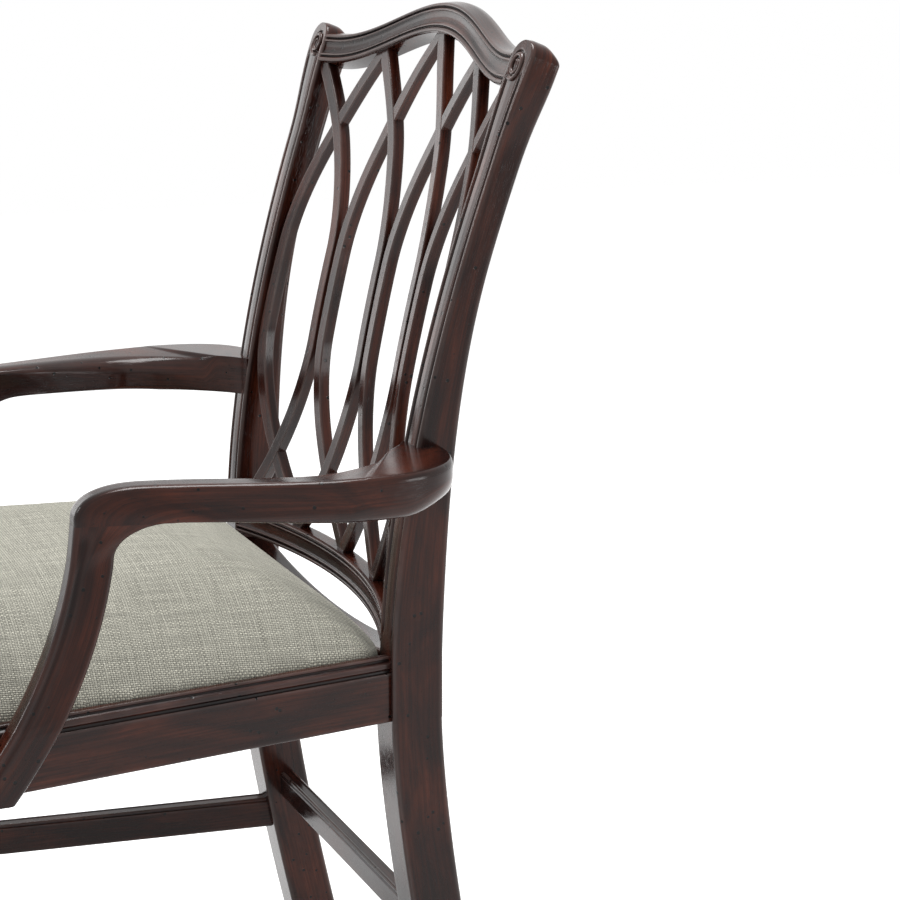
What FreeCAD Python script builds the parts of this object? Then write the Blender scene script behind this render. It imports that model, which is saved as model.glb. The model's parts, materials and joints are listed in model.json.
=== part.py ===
"""Trellis back armchair: joined mahogany frame, bowed trellis back and a drop-in upholstered seat.

Millimetres, +Z up, front towards -Y, origin on the floor under the middle of the chair.
The sitter's left is +X.  Left-hand pieces are modelled and mirrored to make the right-hand ones.
"""
import FreeCAD, Part
import Sketcher
import math
import os
from FreeCAD import Vector

DOC = FreeCAD.newDocument("TrellisArmchair")
SHEET = DOC.addObject("Spreadsheet::Sheet", "dims")

# Driving dimensions: alias, value, meaning.
DIMENSIONS = [
    ("seat_rail_bottom", 395.0, "underside of the seat rails above the floor"),
    ("seat_rail_height", 58.0, "height of the seat rails"),
    ("seat_rail_thickness", 24.0, "thickness of the side and front seat rails"),
    ("rail_setback", 5.0, "seat rail face behind the face of its leg"),
    ("rail_lip", 12.0, "width of the lip outside the seat rebate"),
    ("rebate_depth", 16.0, "depth of the seat rebate"),
    ("moulding_height", 14.0, "height of the run moulding at the top of the rails"),
    ("moulding_depth", 6.0, "how far the run moulding steps in"),
    ("rear_width", 470.0, "width over the rear posts at the seat"),
    ("seat_depth", 457.0, "front face of the front legs to front face of the rear posts"),
    ("side_splay", 7.2, "splay of each side rail in degrees"),
    ("post_width", 32.0, "width of a rear post above the seat"),
    ("leg_width", 42.0, "width of a rear leg below the seat rails"),
    ("post_depth", 47.5, "depth of a rear post at the seat and in the leg"),
    ("post_depth_top", 27.0, "depth of a rear post near its ear"),
    ("post_taper_height", 345.0, "height over which the post tapers above the rails"),
    ("post_lean", 2.3, "outward lean of the posts above the seat in degrees"),
    ("leg_sweep", 62.0, "backward sweep of the rear foot"),
    ("back_sweep", 112.0, "backward sweep of the post front at the sweep height"),
    ("sweep_height", 496.0, "height above the rails at which the sweep is measured"),
    ("ear_height", 975.0, "top of the post ears above the floor"),
    ("rear_rail_thickness", 35.0, "thickness of the rear seat rail"),
    ("rear_rail_dip", 18.0, "hollow of the rear seat rail's top edge"),
    ("crest_top", 998.0, "top of the crest rail above the floor"),
    ("crest_rise", 35.5, "rise of the crest's middle above its ends"),
    ("crest_hump", 204.0, "half width of the crest's raised middle"),
    ("crest_height", 27.0, "height of the crest rail's face"),
    ("crest_thickness", 22.0, "thickness of the crest rail"),
    ("back_bow", 33.0, "bow of the lower back rail in plan"),
    ("crest_bow", 21.5, "bow of the crest rail in plan"),
    ("lower_rail_bottom", 460.0, "underside of the lower back rail above the floor"),
    ("lower_rail_height", 27.0, "height of the lower back rail"),
    ("lower_rail_thickness", 20.0, "thickness of the lower back rail"),
    ("bar_width", 13.0, "width of a trellis bar"),
    ("bar_depth", 11.0, "depth of a trellis bar"),
    ("bar_setback", 5.0, "trellis front behind the post fronts"),
    ("bar_contact", 85.0, "length over which paired bars lie together"),
    ("bar_housing", 6.0, "depth of a bar's housing in the rails"),
    ("front_leg_width", 38.0, "width of a front leg at the seat rails"),
    ("front_foot_width", 26.0, "width of a front leg at the floor"),
    ("leg_reveal", 8.0, "side rail face behind the front leg's outer face"),
    ("side_stretcher_bottom", 130.5, "underside of the side stretchers above the floor"),
    ("side_stretcher_height", 32.5, "height of a side stretcher"),
    ("side_stretcher_thickness", 18.0, "thickness of a side stretcher"),
    ("rear_stretcher_bottom", 169.0, "underside of the rear stretcher above the floor"),
    ("rear_stretcher_height", 26.0, "height of the rear stretcher"),
    ("rear_stretcher_thickness", 16.0, "thickness of the rear stretcher"),
    ("stretcher_chamfer", 4.0, "chamfer along the stretchers' upper edges"),
    ("tenon_thickness", 9.0, "thickness of the tenons"),
    ("tenon_length", 18.0, "length of the tenons"),
    ("front_tenon_length", 14.0, "length of the tenons that meet inside a front leg"),
    ("tenon_shoulder", 5.0, "shoulder above and below a tenon"),
    ("joint_clearance", 0.2, "clearance round tenons, housings, dowels and screws"),
    ("arm_top", 638.0, "top of the arms above the floor"),
    ("arm_thickness", 34.0, "thickness of an arm at the post"),
    ("arm_front_thickness", 30.0, "thickness of an arm over its support"),
    ("arm_spread", 330.0, "half width over the arms at the elbow"),
    ("arm_elbow", 55.0, "widest place of the arm in front of the post fronts"),
    ("arm_elbow_width", 48.0, "width of the arm at the elbow"),
    ("arm_front_spread", 277.0, "half width over the arms at their front ends"),
    ("arm_front_width", 26.0, "width of the arm at its front end"),
    ("arm_root_reveal", 2.5, "arm's squared inner end in from the post's inner edge"),
    ("arm_root_tuck", 5.5, "how far past the post's inner edge the arm's inner bend aims"),
    ("arm_hook_reveal", 16.5, "how far before the post's rear the arm's outer bend ends"),
    ("arm_reach", 288.0, "front end of the arm in front of the post fronts"),
    ("support_sweep", 105.0, "forward sweep of the arm support's foot"),
    ("support_depth", 39.0, "depth of an arm support across its curve"),
    ("support_stand", 26.0, "how far the support's foot stands out from the rail"),
    ("support_housing", 3.0, "depth of the support's notch over the rail"),
    ("support_flare", 30.0, "radius behind the support's top"),
    ("dowel_diameter", 8.0, "diameter of the arm dowels"),
    ("dowel_bite", 8.0, "reach of the post dowel into the arm"),
    ("dowel_length", 30.0, "length of the arm dowels"),
    ("screw_diameter", 5.0, "shank diameter of the wood screws"),
    ("screw_head_diameter", 9.0, "head diameter of the wood screws"),
    ("screw_head_height", 3.0, "head height of the wood screws"),
    ("support_screw_bite", 14.0, "reach of the support screws beyond the rail"),
    ("block_leg", 50.0, "leg of a triangular corner block"),
    ("block_drop", 3.0, "corner block top below the seat rebate"),
    ("block_height", 32.0, "height of a corner block"),
    ("block_screw_length", 26.0, "length of a corner block screw into a side or front rail"),
    ("cleat_screw_length", 40.0, "length of a corner block screw through the cleat"),
    ("cleat_width", 20.0, "width of the rear seat cleat"),
    ("cleat_height", 24.0, "height of the rear seat cleat"),
    ("glide_height", 3.0, "thickness of the floor glides"),
    ("glide_diameter", 18.0, "diameter of the floor glides"),
    ("glide_pin_diameter", 4.0, "diameter of a glide's pin"),
    ("glide_pin_length", 14.0, "length of a glide's pin"),
    ("seat_clearance", 1.5, "gap between the drop-in seat and the rails"),
    ("slip_frame_width", 50.0, "width of the drop-in seat's frame members"),
    ("slip_frame_thickness", 18.0, "thickness of the drop-in seat's frame"),
    ("webbing_width", 50.0, "width of a webbing strap"),
    ("webbing_thickness", 1.5, "thickness of a webbing strap"),
    ("webbing_count", 4.0, "number of webbing straps each way"),
    ("cushion_crown", 74.0, "rise of the cushion's crown above its frame"),
    ("crown_shoulder", 140.0, "how far in from its edge the cushion's crown levels out"),
    ("cushion_draw", 3.0, "how far the cushion's sides draw in between corners"),
    ("soft_gap", 0.3, "gap between the foam and its cover"),
    ("cushion_corner", 10.0, "corner radius of the cushion in plan"),
    ("cover_thickness", 1.6, "thickness of the fabric cover"),
    ("dust_cover_thickness", 0.8, "thickness of the dust cover below the seat frame"),
    ("leg_curve", 1.5, "exponent of the rear leg's sweep: the larger, the later it turns"),
    ("back_curve", 1.72, "exponent of the back's sweep"),
    ("bow_curve", 1.5, "exponent of the bow's fall from the lower rail to the crest"),
    ("bar_curve", 1.8, "exponent of the trellis bars' bend"),
    ("elbow_outer_curve", 2.6, "exponent of the arm's outer bend at the post"),
    ("elbow_inner_curve", 1.5, "exponent of the arm's inner bend at the post"),
    ("crown_curve", 1.2, "exponent of the cushion's crown"),
]

# The cushion's corners grow with its inset, up to a share of its shortest side.
CORNER_GROWTH = 0.2
CORNER_LIMIT = 0.4

# Share of a corner block's slanted face at which each of its screws enters.
BLOCK_SCREW_SHARE = 0.33

# Sections of the lofted slab that the back's pieces are cut from.
SLAB_SECTIONS = 7

# Shares of the crown's height at which the cushion's sections lie.
CROWN_SHARES = [0.0, 0.25, 0.42, 0.56, 0.68, 0.78, 0.86, 0.92, 0.97, 1.0]

# Derived cells: alias and formula, evaluated by the sheet.
FORMULAS = [
    ("rail_top", "=seat_rail_bottom + seat_rail_height"),
    ("ledge_height", "=rail_top - rebate_depth"),
    ("half_rear", "=rear_width / 2"),
    ("rail_rear_x", "=half_rear - rail_setback"),
    ("rail_run", "=seat_depth - front_leg_width"),
    ("rail_front_x", "=rail_rear_x + rail_run * tan(side_splay * 1deg)"),
    ("front_outer_x", "=rail_front_x + leg_reveal"),
    ("front_inner_x", "=front_outer_x - front_leg_width"),
    ("arm_joint", "=arm_top - arm_front_thickness"),
    ("inner_half", "=half_rear - post_width"),
    ("leg_inner_half", "=half_rear - leg_width"),
    ("side_stretcher_middle", "=side_stretcher_bottom + side_stretcher_height / 2"),
    ("rear_stretcher_middle", "=rear_stretcher_bottom + rear_stretcher_height / 2"),
    ("side_stretcher_back",
     "=leg_sweep * ((seat_rail_bottom - side_stretcher_middle) / seat_rail_bottom) ^ leg_curve"),
    ("rear_stretcher_back",
     "=leg_sweep * ((seat_rail_bottom - rear_stretcher_middle) / seat_rail_bottom) ^ leg_curve"),
    ("foot_back", "=leg_sweep * ((seat_rail_bottom - glide_height) / seat_rail_bottom) ^ leg_curve"),
    ("leg_taper", "=(front_leg_width - front_foot_width) / (seat_rail_bottom - glide_height)"),
    ("leg_low_width", "=front_foot_width + leg_taper * (side_stretcher_middle - glide_height)"),
    ("block_top", "=ledge_height - block_drop"),
    ("cover_inset", "=rail_lip + seat_clearance"),
    ("foam_inset", "=cover_inset + cover_thickness + soft_gap"),
    ("frame_inset", "=cover_inset + cover_thickness + cushion_draw"),
    ("slip_frame_top", "=ledge_height + slip_frame_thickness"),
    ("foam_bottom", "=slip_frame_top + webbing_thickness"),
    ("frame_rear", "=frame_inset - rail_lip"),
    ("frame_front", "=seat_depth - rail_setback - frame_inset"),
]


def fill_sheet():
    """Write the driving dimensions and the derived cells into the sheet."""
    row = 1
    for alias, value, meaning in DIMENSIONS:
        SHEET.set("A%d" % row, meaning)
        SHEET.set("B%d" % row, str(value))
        SHEET.setAlias("B%d" % row, alias)
        row += 1
    for alias, formula in FORMULAS:
        SHEET.set("A%d" % row, alias)
        SHEET.set("B%d" % row, formula)
        SHEET.setAlias("B%d" % row, alias)
        row += 1
    DOC.recompute()
    SHEET.set("A%d" % row, "front face of the rear posts at the seat")
    SHEET.set("B%d" % row, str(back_line_for_centre()))
    SHEET.setAlias("B%d" % row, "back_line")
    DOC.recompute()


def size(alias):
    """Return a sheet value as a plain number."""
    return float(SHEET.get(alias))


def back_set(height):
    """Return how far the post's front face lies behind the back line at a height."""
    top = size("rail_top")
    bottom = size("seat_rail_bottom")
    if height > top:
        return size("back_sweep") * ((height - top) / size("sweep_height")) ** size("back_curve")
    if height < bottom:
        return size("leg_sweep") * ((bottom - height) / bottom) ** size("leg_curve")
    return 0.0


def back_line_for_centre():
    """Return the back line's Y that puts the origin under the middle of the chair's depth."""
    rear = back_set(size("crest_top")) + size("crest_bow") + size("crest_thickness")
    return (size("seat_depth") - rear) / 2


def smooth(ratio):
    """Return the smoothstep of a ratio held between 0 and 1."""
    held = min(max(ratio, 0.0), 1.0)
    return held * held * (3 - 2 * held)


def post_front(height):
    """Return the Y of the post's front face at a height."""
    return size("back_line") + back_set(height)


def post_rear(height):
    """Return the Y of the post's rear face at a height."""
    taper = smooth((height - size("rail_top")) / size("post_taper_height"))
    depth = size("post_depth") + (size("post_depth_top") - size("post_depth")) * taper
    return post_front(height) + depth


def post_outer(height):
    """Return the X of the left post's outer face at a height."""
    lean = math.tan(math.radians(size("post_lean")))
    return size("half_rear") + max(height - size("rail_top"), 0.0) * lean


def post_inner(height):
    """Return the X of the left post's inner face at a height."""
    return post_outer(height) - size("post_width")


def bow_at(height):
    """Return the bow of the back in plan at a height, less at the crest than at the lower rail."""
    low = size("lower_rail_bottom") + size("lower_rail_height")
    share = min(max((height - low) / (size("crest_top") - low), 0.0), 1.0)
    return size("back_bow") + (size("crest_bow") - size("back_bow")) * share ** size("bow_curve")


def crest_bottom(x):
    """Return the height of the crest's lower edge at an X: flat ends and a raised middle."""
    end = size("crest_top") - size("crest_rise") - size("crest_height")
    ratio = min(abs(x) / size("crest_hump"), 1.0)
    return end + size("crest_rise") * (1 + math.cos(math.pi * ratio)) / 2


def steps(start, stop, count):
    """Return evenly spaced values from start to stop, both included."""
    return [start + (stop - start) * index / (count - 1) for index in range(count)]


def spline(points):
    """Return one smooth edge through points."""
    curve = Part.BSplineCurve()
    curve.interpolate(points)
    return curve.toShape()


def line(start, end):
    """Return a straight edge."""
    return Part.LineSegment(start, end).toShape()


def polygon_wire(points):
    """Return a closed wire of straight edges."""
    return Part.makePolygon(points + [points[0]])


def prism(edges, direction):
    """Return the solid made by pushing a closed run of edges along a direction."""
    wire = Part.Wire(Part.__sortEdges__(edges))
    return Part.Face(wire).extrude(direction)


def box_between(low, high):
    """Return a plain block between two corners."""
    span = high - low
    return Part.makeBox(span.x, span.y, span.z, low)


def one_solid(shape):
    """Return the shape's single solid."""
    solids = shape.Solids
    if len(solids) != 1:
        raise ValueError("expected one solid, found %d" % len(solids))
    return solids[0]


def shaped(label, shape):
    """Add a sub-part whose sawn or boolean shape was worked out from the sheet."""
    feature = DOC.addObject("Part::Feature", label)
    feature.Label = label
    feature.Shape = shape
    return feature


def mirrored(source, label):
    """Add the right-hand twin of a left-hand sub-part."""
    twin = DOC.addObject("Part::Mirroring", label)
    twin.Source = source
    twin.Normal = Vector(1, 0, 0)
    twin.Base = Vector(0, 0, 0)
    twin.Label = label
    return twin


def mirror_shape(shape):
    """Return a shape mirrored to the other side of the chair."""
    return shape.mirror(Vector(0, 0, 0), Vector(1, 0, 0))


def plane_of(body, role):
    """Return one of a body's own origin planes."""
    for feature in body.Origin.OriginFeatures:
        if feature.Role == role:
            return feature
    raise ValueError("no plane %s" % role)


def bound_sketch(body, role, outline, offset):
    """Add a closed sketch of straight lines whose corners are bound to sheet expressions."""
    sketch = body.newObject("Sketcher::SketchObject", body.Name + "_sketch")
    sketch.AttachmentSupport = [(plane_of(body, role), "")]
    sketch.MapMode = "FlatFace"
    sketch.setExpression("AttachmentOffset.Base.z", offset)
    corners = []
    for across, up in outline:
        corners.append(Vector(float(SHEET.evalExpression(across)), float(SHEET.evalExpression(up)), 0))
    count = len(corners)
    for index in range(count):
        sketch.addGeometry(Part.LineSegment(corners[index], corners[(index + 1) % count]), False)
    for index in range(count):
        sketch.addConstraint(Sketcher.Constraint("Coincident", index, 2, (index + 1) % count, 1))
    for index, (across, up) in enumerate(outline):
        place = corners[index]
        for kind, value, expression in (("DistanceX", place.x, across), ("DistanceY", place.y, up)):
            number = sketch.addConstraint(Sketcher.Constraint(kind, -1, 1, index, 1, value))
            sketch.setExpression("Constraints[%d]" % number, expression)
    return sketch


def padded(label, role, outline, length, offset="0"):
    """Add a body: a bound sketch on one of its planes, pushed out by a bound length."""
    body = DOC.addObject("PartDesign::Body", label)
    body.Label = label
    sketch = bound_sketch(body, role, outline, offset)
    pad = body.newObject("PartDesign::Pad", label + "_pad")
    pad.Profile = sketch
    pad.setExpression("Length", length)
    body.Tip = pad
    DOC.recompute()
    return body


def block(label, corner, spans):
    """Add a box bound to the sheet: the expressions of its low corner and of its three spans."""
    box = DOC.addObject("Part::Box", label)
    box.Label = label
    for axis, expression in zip("xyz", corner):
        box.setExpression("Placement.Base." + axis, expression)
    for name, expression in zip(("Length", "Width", "Height"), spans):
        box.setExpression(name, expression)
    DOC.recompute()
    return box


def cut_from(label, base, tools):
    """Add the base less every tool."""
    gathered = DOC.addObject("Part::Compound", label + "_cutters")
    gathered.Links = tools
    result = DOC.addObject("Part::Cut", label)
    result.Base = base
    result.Tool = gathered
    result.Label = label
    DOC.recompute()
    return result


def joined(label, pieces):
    """Add one solid made of several."""
    result = DOC.addObject("Part::MultiFuse", label)
    result.Shapes = pieces
    result.Label = label
    DOC.recompute()
    return result


def post_blank():
    """Return the left post and leg, sawn to a swept side outline and a leaning front outline."""
    foot = size("glide_height")
    bottom = size("seat_rail_bottom")
    top = size("rail_top")
    ear = size("ear_height")
    shoulder = ear - size("post_width") / 2
    leg = steps(foot, bottom, 6)
    back = steps(top, shoulder, 10)
    front_low = [Vector(0, post_front(z), z) for z in leg]
    front_high = [Vector(0, post_front(z), z) for z in back]
    rear_low = [Vector(0, post_rear(z), z) for z in leg]
    rear_high = [Vector(0, post_rear(z), z) for z in back]
    crown = Vector(0, (front_high[-1].y + rear_high[-1].y) / 2 + size("post_width") / 4, ear)
    side = [
        spline(front_low), line(front_low[-1], front_high[0]), spline(front_high),
        Part.Arc(front_high[-1], crown, rear_high[-1]).toShape(),
        spline(rear_high), line(rear_high[0], rear_low[-1]),
        spline(rear_low), line(rear_low[0], front_low[0]),
    ]
    near = size("back_line") - size("post_depth")
    half = size("half_rear")
    inner = half - size("post_width")
    knee_out = Vector(half, near, top)
    knee_in = Vector(inner, near, top)
    cap_out = Vector(post_outer(shoulder), near, shoulder)
    cap_in = Vector(post_inner(shoulder), near, shoulder)
    tip = Vector((cap_out.x + cap_in.x) / 2, near, ear)
    foot_out = Vector(half, near, foot)
    step_in = Vector(inner, near, bottom)
    leg_in = Vector(size("leg_inner_half"), near, bottom)
    foot_in = Vector(size("leg_inner_half"), near, foot)
    front = [
        line(foot_out, knee_out), line(knee_out, cap_out), Part.Arc(cap_out, tip, cap_in).toShape(),
        line(cap_in, knee_in), line(knee_in, step_in), line(step_in, leg_in),
        line(leg_in, foot_in), line(foot_in, foot_out),
    ]
    reach = size("back_sweep") * 2 + size("leg_sweep") + size("post_depth") * 4
    return one_solid(prism(side, Vector(cap_out.x * 2, 0, 0)).common(prism(front, Vector(0, reach, 0))))


def back_slab(setback, thickness):
    """Return a slab swept like the posts and bowed between them: a loft of crescents."""
    wide = size("half_rear") + size("post_width") / 2
    wires = []
    low = size("rail_top")
    high = size("crest_top") + size("crest_height")
    for height in steps(low, high, SLAB_SECTIONS):
        half = post_inner(height)
        bow = bow_at(height)
        radius = (half * half + bow * bow) / (2 * bow)
        centre = post_front(height) + setback + bow - radius
        arcs = []
        for reach in (radius, radius + thickness):
            side = centre + math.sqrt(reach * reach - wide * wide)
            right, left = Vector(-wide, side, height), Vector(wide, side, height)
            arcs.append((right, Vector(0, centre + reach, height), left))
        front, rear = arcs
        edges = [
            Part.Arc(*front).toShape(), line(front[2], rear[2]),
            Part.Arc(*rear).toShape(), line(rear[0], front[0]),
        ]
        wires.append(Part.Wire(Part.__sortEdges__(edges)))
    return Part.makeLoft(wires, True, False)


def back_prism(edges):
    """Return an outline of the back's elevation pushed through the whole depth of the back."""
    return prism(edges, Vector(0, size("back_sweep") * 2 + size("back_bow") + size("post_depth") * 4, 0))


def elevation(x, z):
    """Return a point of the back's elevation, in front of the back."""
    return Vector(x, size("back_line") - size("post_depth"), z)


def closed(corners):
    """Return the straight edges round a run of corners."""
    return [line(corner, corners[(index + 1) % len(corners)]) for index, corner in enumerate(corners)]


def between_posts(low, high):
    """Return everything between the posts' inner faces from one height to another."""
    return back_prism(closed([
        elevation(-post_inner(low), low), elevation(post_inner(low), low),
        elevation(post_inner(high), high), elevation(-post_inner(high), high)]))


def crest_blank():
    """Return the crest rail between the posts: flat ends, raised middle, bowed and swept."""
    wide = size("half_rear") + size("post_width") / 2
    xs = steps(-wide, wide, 25)
    low = [elevation(x, crest_bottom(x)) for x in xs]
    high = [elevation(x, crest_bottom(x) + size("crest_height")) for x in xs]
    edges = [spline(low), line(low[-1], high[-1]), spline(high), line(high[0], low[0])]
    body = back_prism(edges).common(back_slab(0.0, size("crest_thickness")))
    gap = between_posts(low[0].z - size("crest_height"), size("crest_top") + size("crest_height"))
    return largest(body.common(gap))


def lower_rail_blank():
    """Return the lower back rail between the posts, bowed and swept like the crest."""
    low = size("lower_rail_bottom")
    high = low + size("lower_rail_height")
    return largest(between_posts(low, high).common(back_slab(0.0, size("lower_rail_thickness"))))


def largest(shape):
    """Return the largest solid of a shape."""
    return max(shape.Solids, key=lambda solid: solid.Volume)


def trellis_half_width(height):
    """Return the half width of the trellis, where its outer bars meet the posts."""
    return post_inner(height)


def bar_outline(place, turn, width):
    """Return the elevation of one bar: upright beside its twin, its ends bent one pitch sideways.

    place is the bar's place in half widths of the trellis and turn is the side it bends to.
    The bend's offset is the pitch times the share of the run raised to bar_curve.
    """
    lower_end = size("lower_rail_bottom") + size("lower_rail_height") - size("bar_housing")
    goal = place + turn * 0.5
    upper_end = crest_bottom(goal * trellis_half_width(size("crest_top"))) + size("bar_housing")
    lower_mouth = lower_end + size("bar_housing")
    upper_mouth = upper_end - size("bar_housing")
    middle = (lower_mouth + crest_bottom(size("crest_hump"))) / 2
    half_contact = size("bar_contact") / 2
    inset = turn * size("bar_width") / 2
    middle_x = place * trellis_half_width(middle) + inset

    def centre(height):
        if height > middle:
            run = upper_mouth - middle - half_contact
            share = max(height - middle - half_contact, 0.0) / run
            goal_x = goal * trellis_half_width(upper_mouth)
        else:
            run = middle - half_contact - lower_mouth
            share = max(middle - half_contact - height, 0.0) / run
            goal_x = goal * trellis_half_width(lower_mouth)
        return middle_x + (goal_x - middle_x) * share ** size("bar_curve")

    lower = steps(lower_end, middle - half_contact, 8)
    upper = steps(middle + half_contact, upper_end, 8)

    def side(heights, way):
        points = []
        for height in heights:
            slope = centre(height + 0.5) - centre(height - 0.5)
            across = way * width / 2 / math.hypot(slope, 1.0)
            points.append(elevation(centre(height) + across, height - slope * across))
        return points

    low_right, high_right = side(lower, 1), side(upper, 1)
    low_left, high_left = side(lower, -1), side(upper, -1)
    return [
        spline(low_right), line(low_right[-1], high_right[0]),
        spline(high_right), line(high_right[-1], high_left[-1]),
        spline(high_left), line(high_left[0], low_left[-1]),
        spline(low_left), line(low_left[0], low_right[0]),
    ]


def trellis(posts):
    """Return the eight finished bars and the cutters for their housings.

    Bars are lapped half and half where they cross, mitred where two meet at a rail,
    and cut to the posts at the corners of the panel.
    """
    clearance = size("joint_clearance")
    depth = size("bar_depth")
    setback = size("bar_setback")
    whole = back_slab(setback, depth)
    loose = back_slab(setback - clearance, depth + 2 * clearance)
    front_half = back_slab(setback - clearance, depth / 2 + clearance)
    rear_half = back_slab(setback + depth / 2 - clearance, depth / 2 + 2 * clearance)
    layout = [(-1.0, 1), (-0.5, -1), (-0.5, 1), (0.0, -1), (0.0, 1), (0.5, -1), (0.5, 1), (1.0, -1)]
    crossings = {0: 1, 1: 0, 2: 3, 3: 2, 4: 5, 5: 4, 6: 7, 7: 6}
    width = size("bar_width")
    blanks = [back_prism(bar_outline(place, turn, width)) for place, turn in layout]
    wide = [back_prism(bar_outline(place, turn, width + 2 * clearance)) for place, turn in layout]
    bars = []
    for index, (place, turn) in enumerate(layout):
        partner = crossings[index]
        away = rear_half if index < partner else front_half
        bar = whole.common(blanks[index]).cut(wide[partner].common(away))
        if abs(place + turn * 0.5) > 0.75 or abs(place) > 0.75:
            bar = bar.cut(posts[0] if place > 0 else posts[1])
        bars.append(one_solid(mitred(largest(bar), place + turn * 0.5, turn)))
    return bars, [loose.common(blank) for blank in wide]


def mitred(bar, goal, turn):
    """Return a bar cut on the upright plane where it meets the next bar's end."""
    if abs(goal) > 0.75:
        return bar
    box = bar.BoundBox
    plane = goal * trellis_half_width(size("crest_top"))
    low_plane = goal * trellis_half_width(size("lower_rail_bottom"))
    far = plane + turn * size("post_width") * 3
    near_y = box.YMin - size("post_width")
    low = size("rail_top")
    high = size("crest_top") + size("crest_height")
    corners = [
        Vector(low_plane, near_y, low), Vector(plane, near_y, high),
        Vector(far, near_y, high), Vector(far, near_y, low),
    ]
    return largest(bar.cut(back_prism(closed(corners))))


def arm_outer(ahead):
    """Return the X of the left arm's outer edge at a distance in front of the back line."""
    elbow = size("arm_elbow")
    if ahead >= elbow:
        share = (ahead - elbow) / (size("arm_reach") - elbow)
        return size("arm_spread") + (size("arm_front_spread") - size("arm_spread")) * smooth(share)
    root = post_outer(size("arm_top"))
    length = elbow + post_rear(size("arm_top")) - size("back_line") - size("arm_hook_reveal")
    share = min((elbow - ahead) / length, 1.0)
    power = size("elbow_outer_curve")
    return root + (size("arm_spread") - root) * (1 - share ** power) ** (1 / power)


def arm_inner(ahead):
    """Return the X of the left arm's inner edge at a distance in front of the back line."""
    start = size("arm_elbow") + size("post_width")
    if ahead >= start:
        share = min((ahead - start) / (size("arm_reach") - start), 1.0)
        width = size("arm_elbow_width") + (size("arm_front_width") - size("arm_elbow_width")) * share
        return arm_outer(ahead) - width
    root = post_inner(size("arm_top")) - size("arm_root_tuck")
    edge = arm_outer(start) - size("arm_elbow_width")
    length = start + back_set(size("arm_top"))
    share = min((start - ahead) / length, 1.0)
    power = size("elbow_inner_curve")
    return root + (edge - root) * (1 - share ** power) ** (1 / power)


def arm_blank(post):
    """Return the left arm, sawn to its plan and side outlines and seated on the post."""
    line_y = size("back_line")
    reach = size("arm_reach")
    top = size("arm_top")
    joint = size("arm_joint")
    roll = size("arm_front_thickness")
    elbow = size("arm_elbow")
    hook_end = post_rear(top) - line_y - size("arm_hook_reveal")
    root_end = back_set(top)
    inner_start = elbow + size("post_width")
    level = joint - size("arm_thickness")
    turns = steps(0.0, math.pi / 2, 9)
    tip = reach + roll
    hook = [elbow - (elbow + hook_end) * math.sin(turn) for turn in turns]
    root = [inner_start - (inner_start + root_end) * math.sin(turn) for turn in turns]
    outer = [Vector(arm_outer(a), line_y - a, level) for a in steps(tip, elbow, 9)[:-1] + hook]
    inner = [Vector(arm_inner(a), line_y - a, level) for a in steps(tip, inner_start, 8)[:-1] + root]
    heel = Vector(inner[-1].x, outer[-1].y, level)
    plan = [
        spline(outer), line(outer[-1], heel), line(heel, inner[-1]),
        spline(inner), line(inner[0], outer[0]),
    ]
    nose = Vector(0, line_y - reach, joint)
    brow = Vector(0, nose.y + roll, top)
    bend = Vector(0, nose.y + roll * (1 - math.sqrt(0.5)), joint + roll * math.sqrt(0.5))
    rear = Vector(0, line_y + hook_end + size("post_depth"), top)
    rear_low = Vector(0, rear.y, top - size("arm_thickness"))
    elbow_low = Vector(0, line_y - elbow, rear_low.z)
    seat_end = Vector(0, nose.y + size("support_depth") + size("support_flare"), joint)
    side = [
        Part.Arc(nose, bend, brow).toShape(), line(brow, rear), line(rear, rear_low),
        line(rear_low, elbow_low), line(elbow_low, seat_end), line(seat_end, nose),
    ]
    board = prism(plan, Vector(0, 0, size("arm_thickness") * 3))
    start = post_inner(top) + size("arm_root_reveal")
    side = [edge.translated(Vector(start, 0, 0)) for edge in side]
    sawn = board.common(prism(side, Vector(size("arm_spread"), 0, 0)))
    return largest(sawn.cut(post))


def support_centre(height):
    """Return how far the support's middle lies in front of the back line at a height."""
    run = size("arm_joint") - size("seat_rail_bottom")
    share = (size("arm_joint") - height) / run
    return size("arm_reach") - size("support_depth") / 2 + size("support_sweep") * share * share


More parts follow.
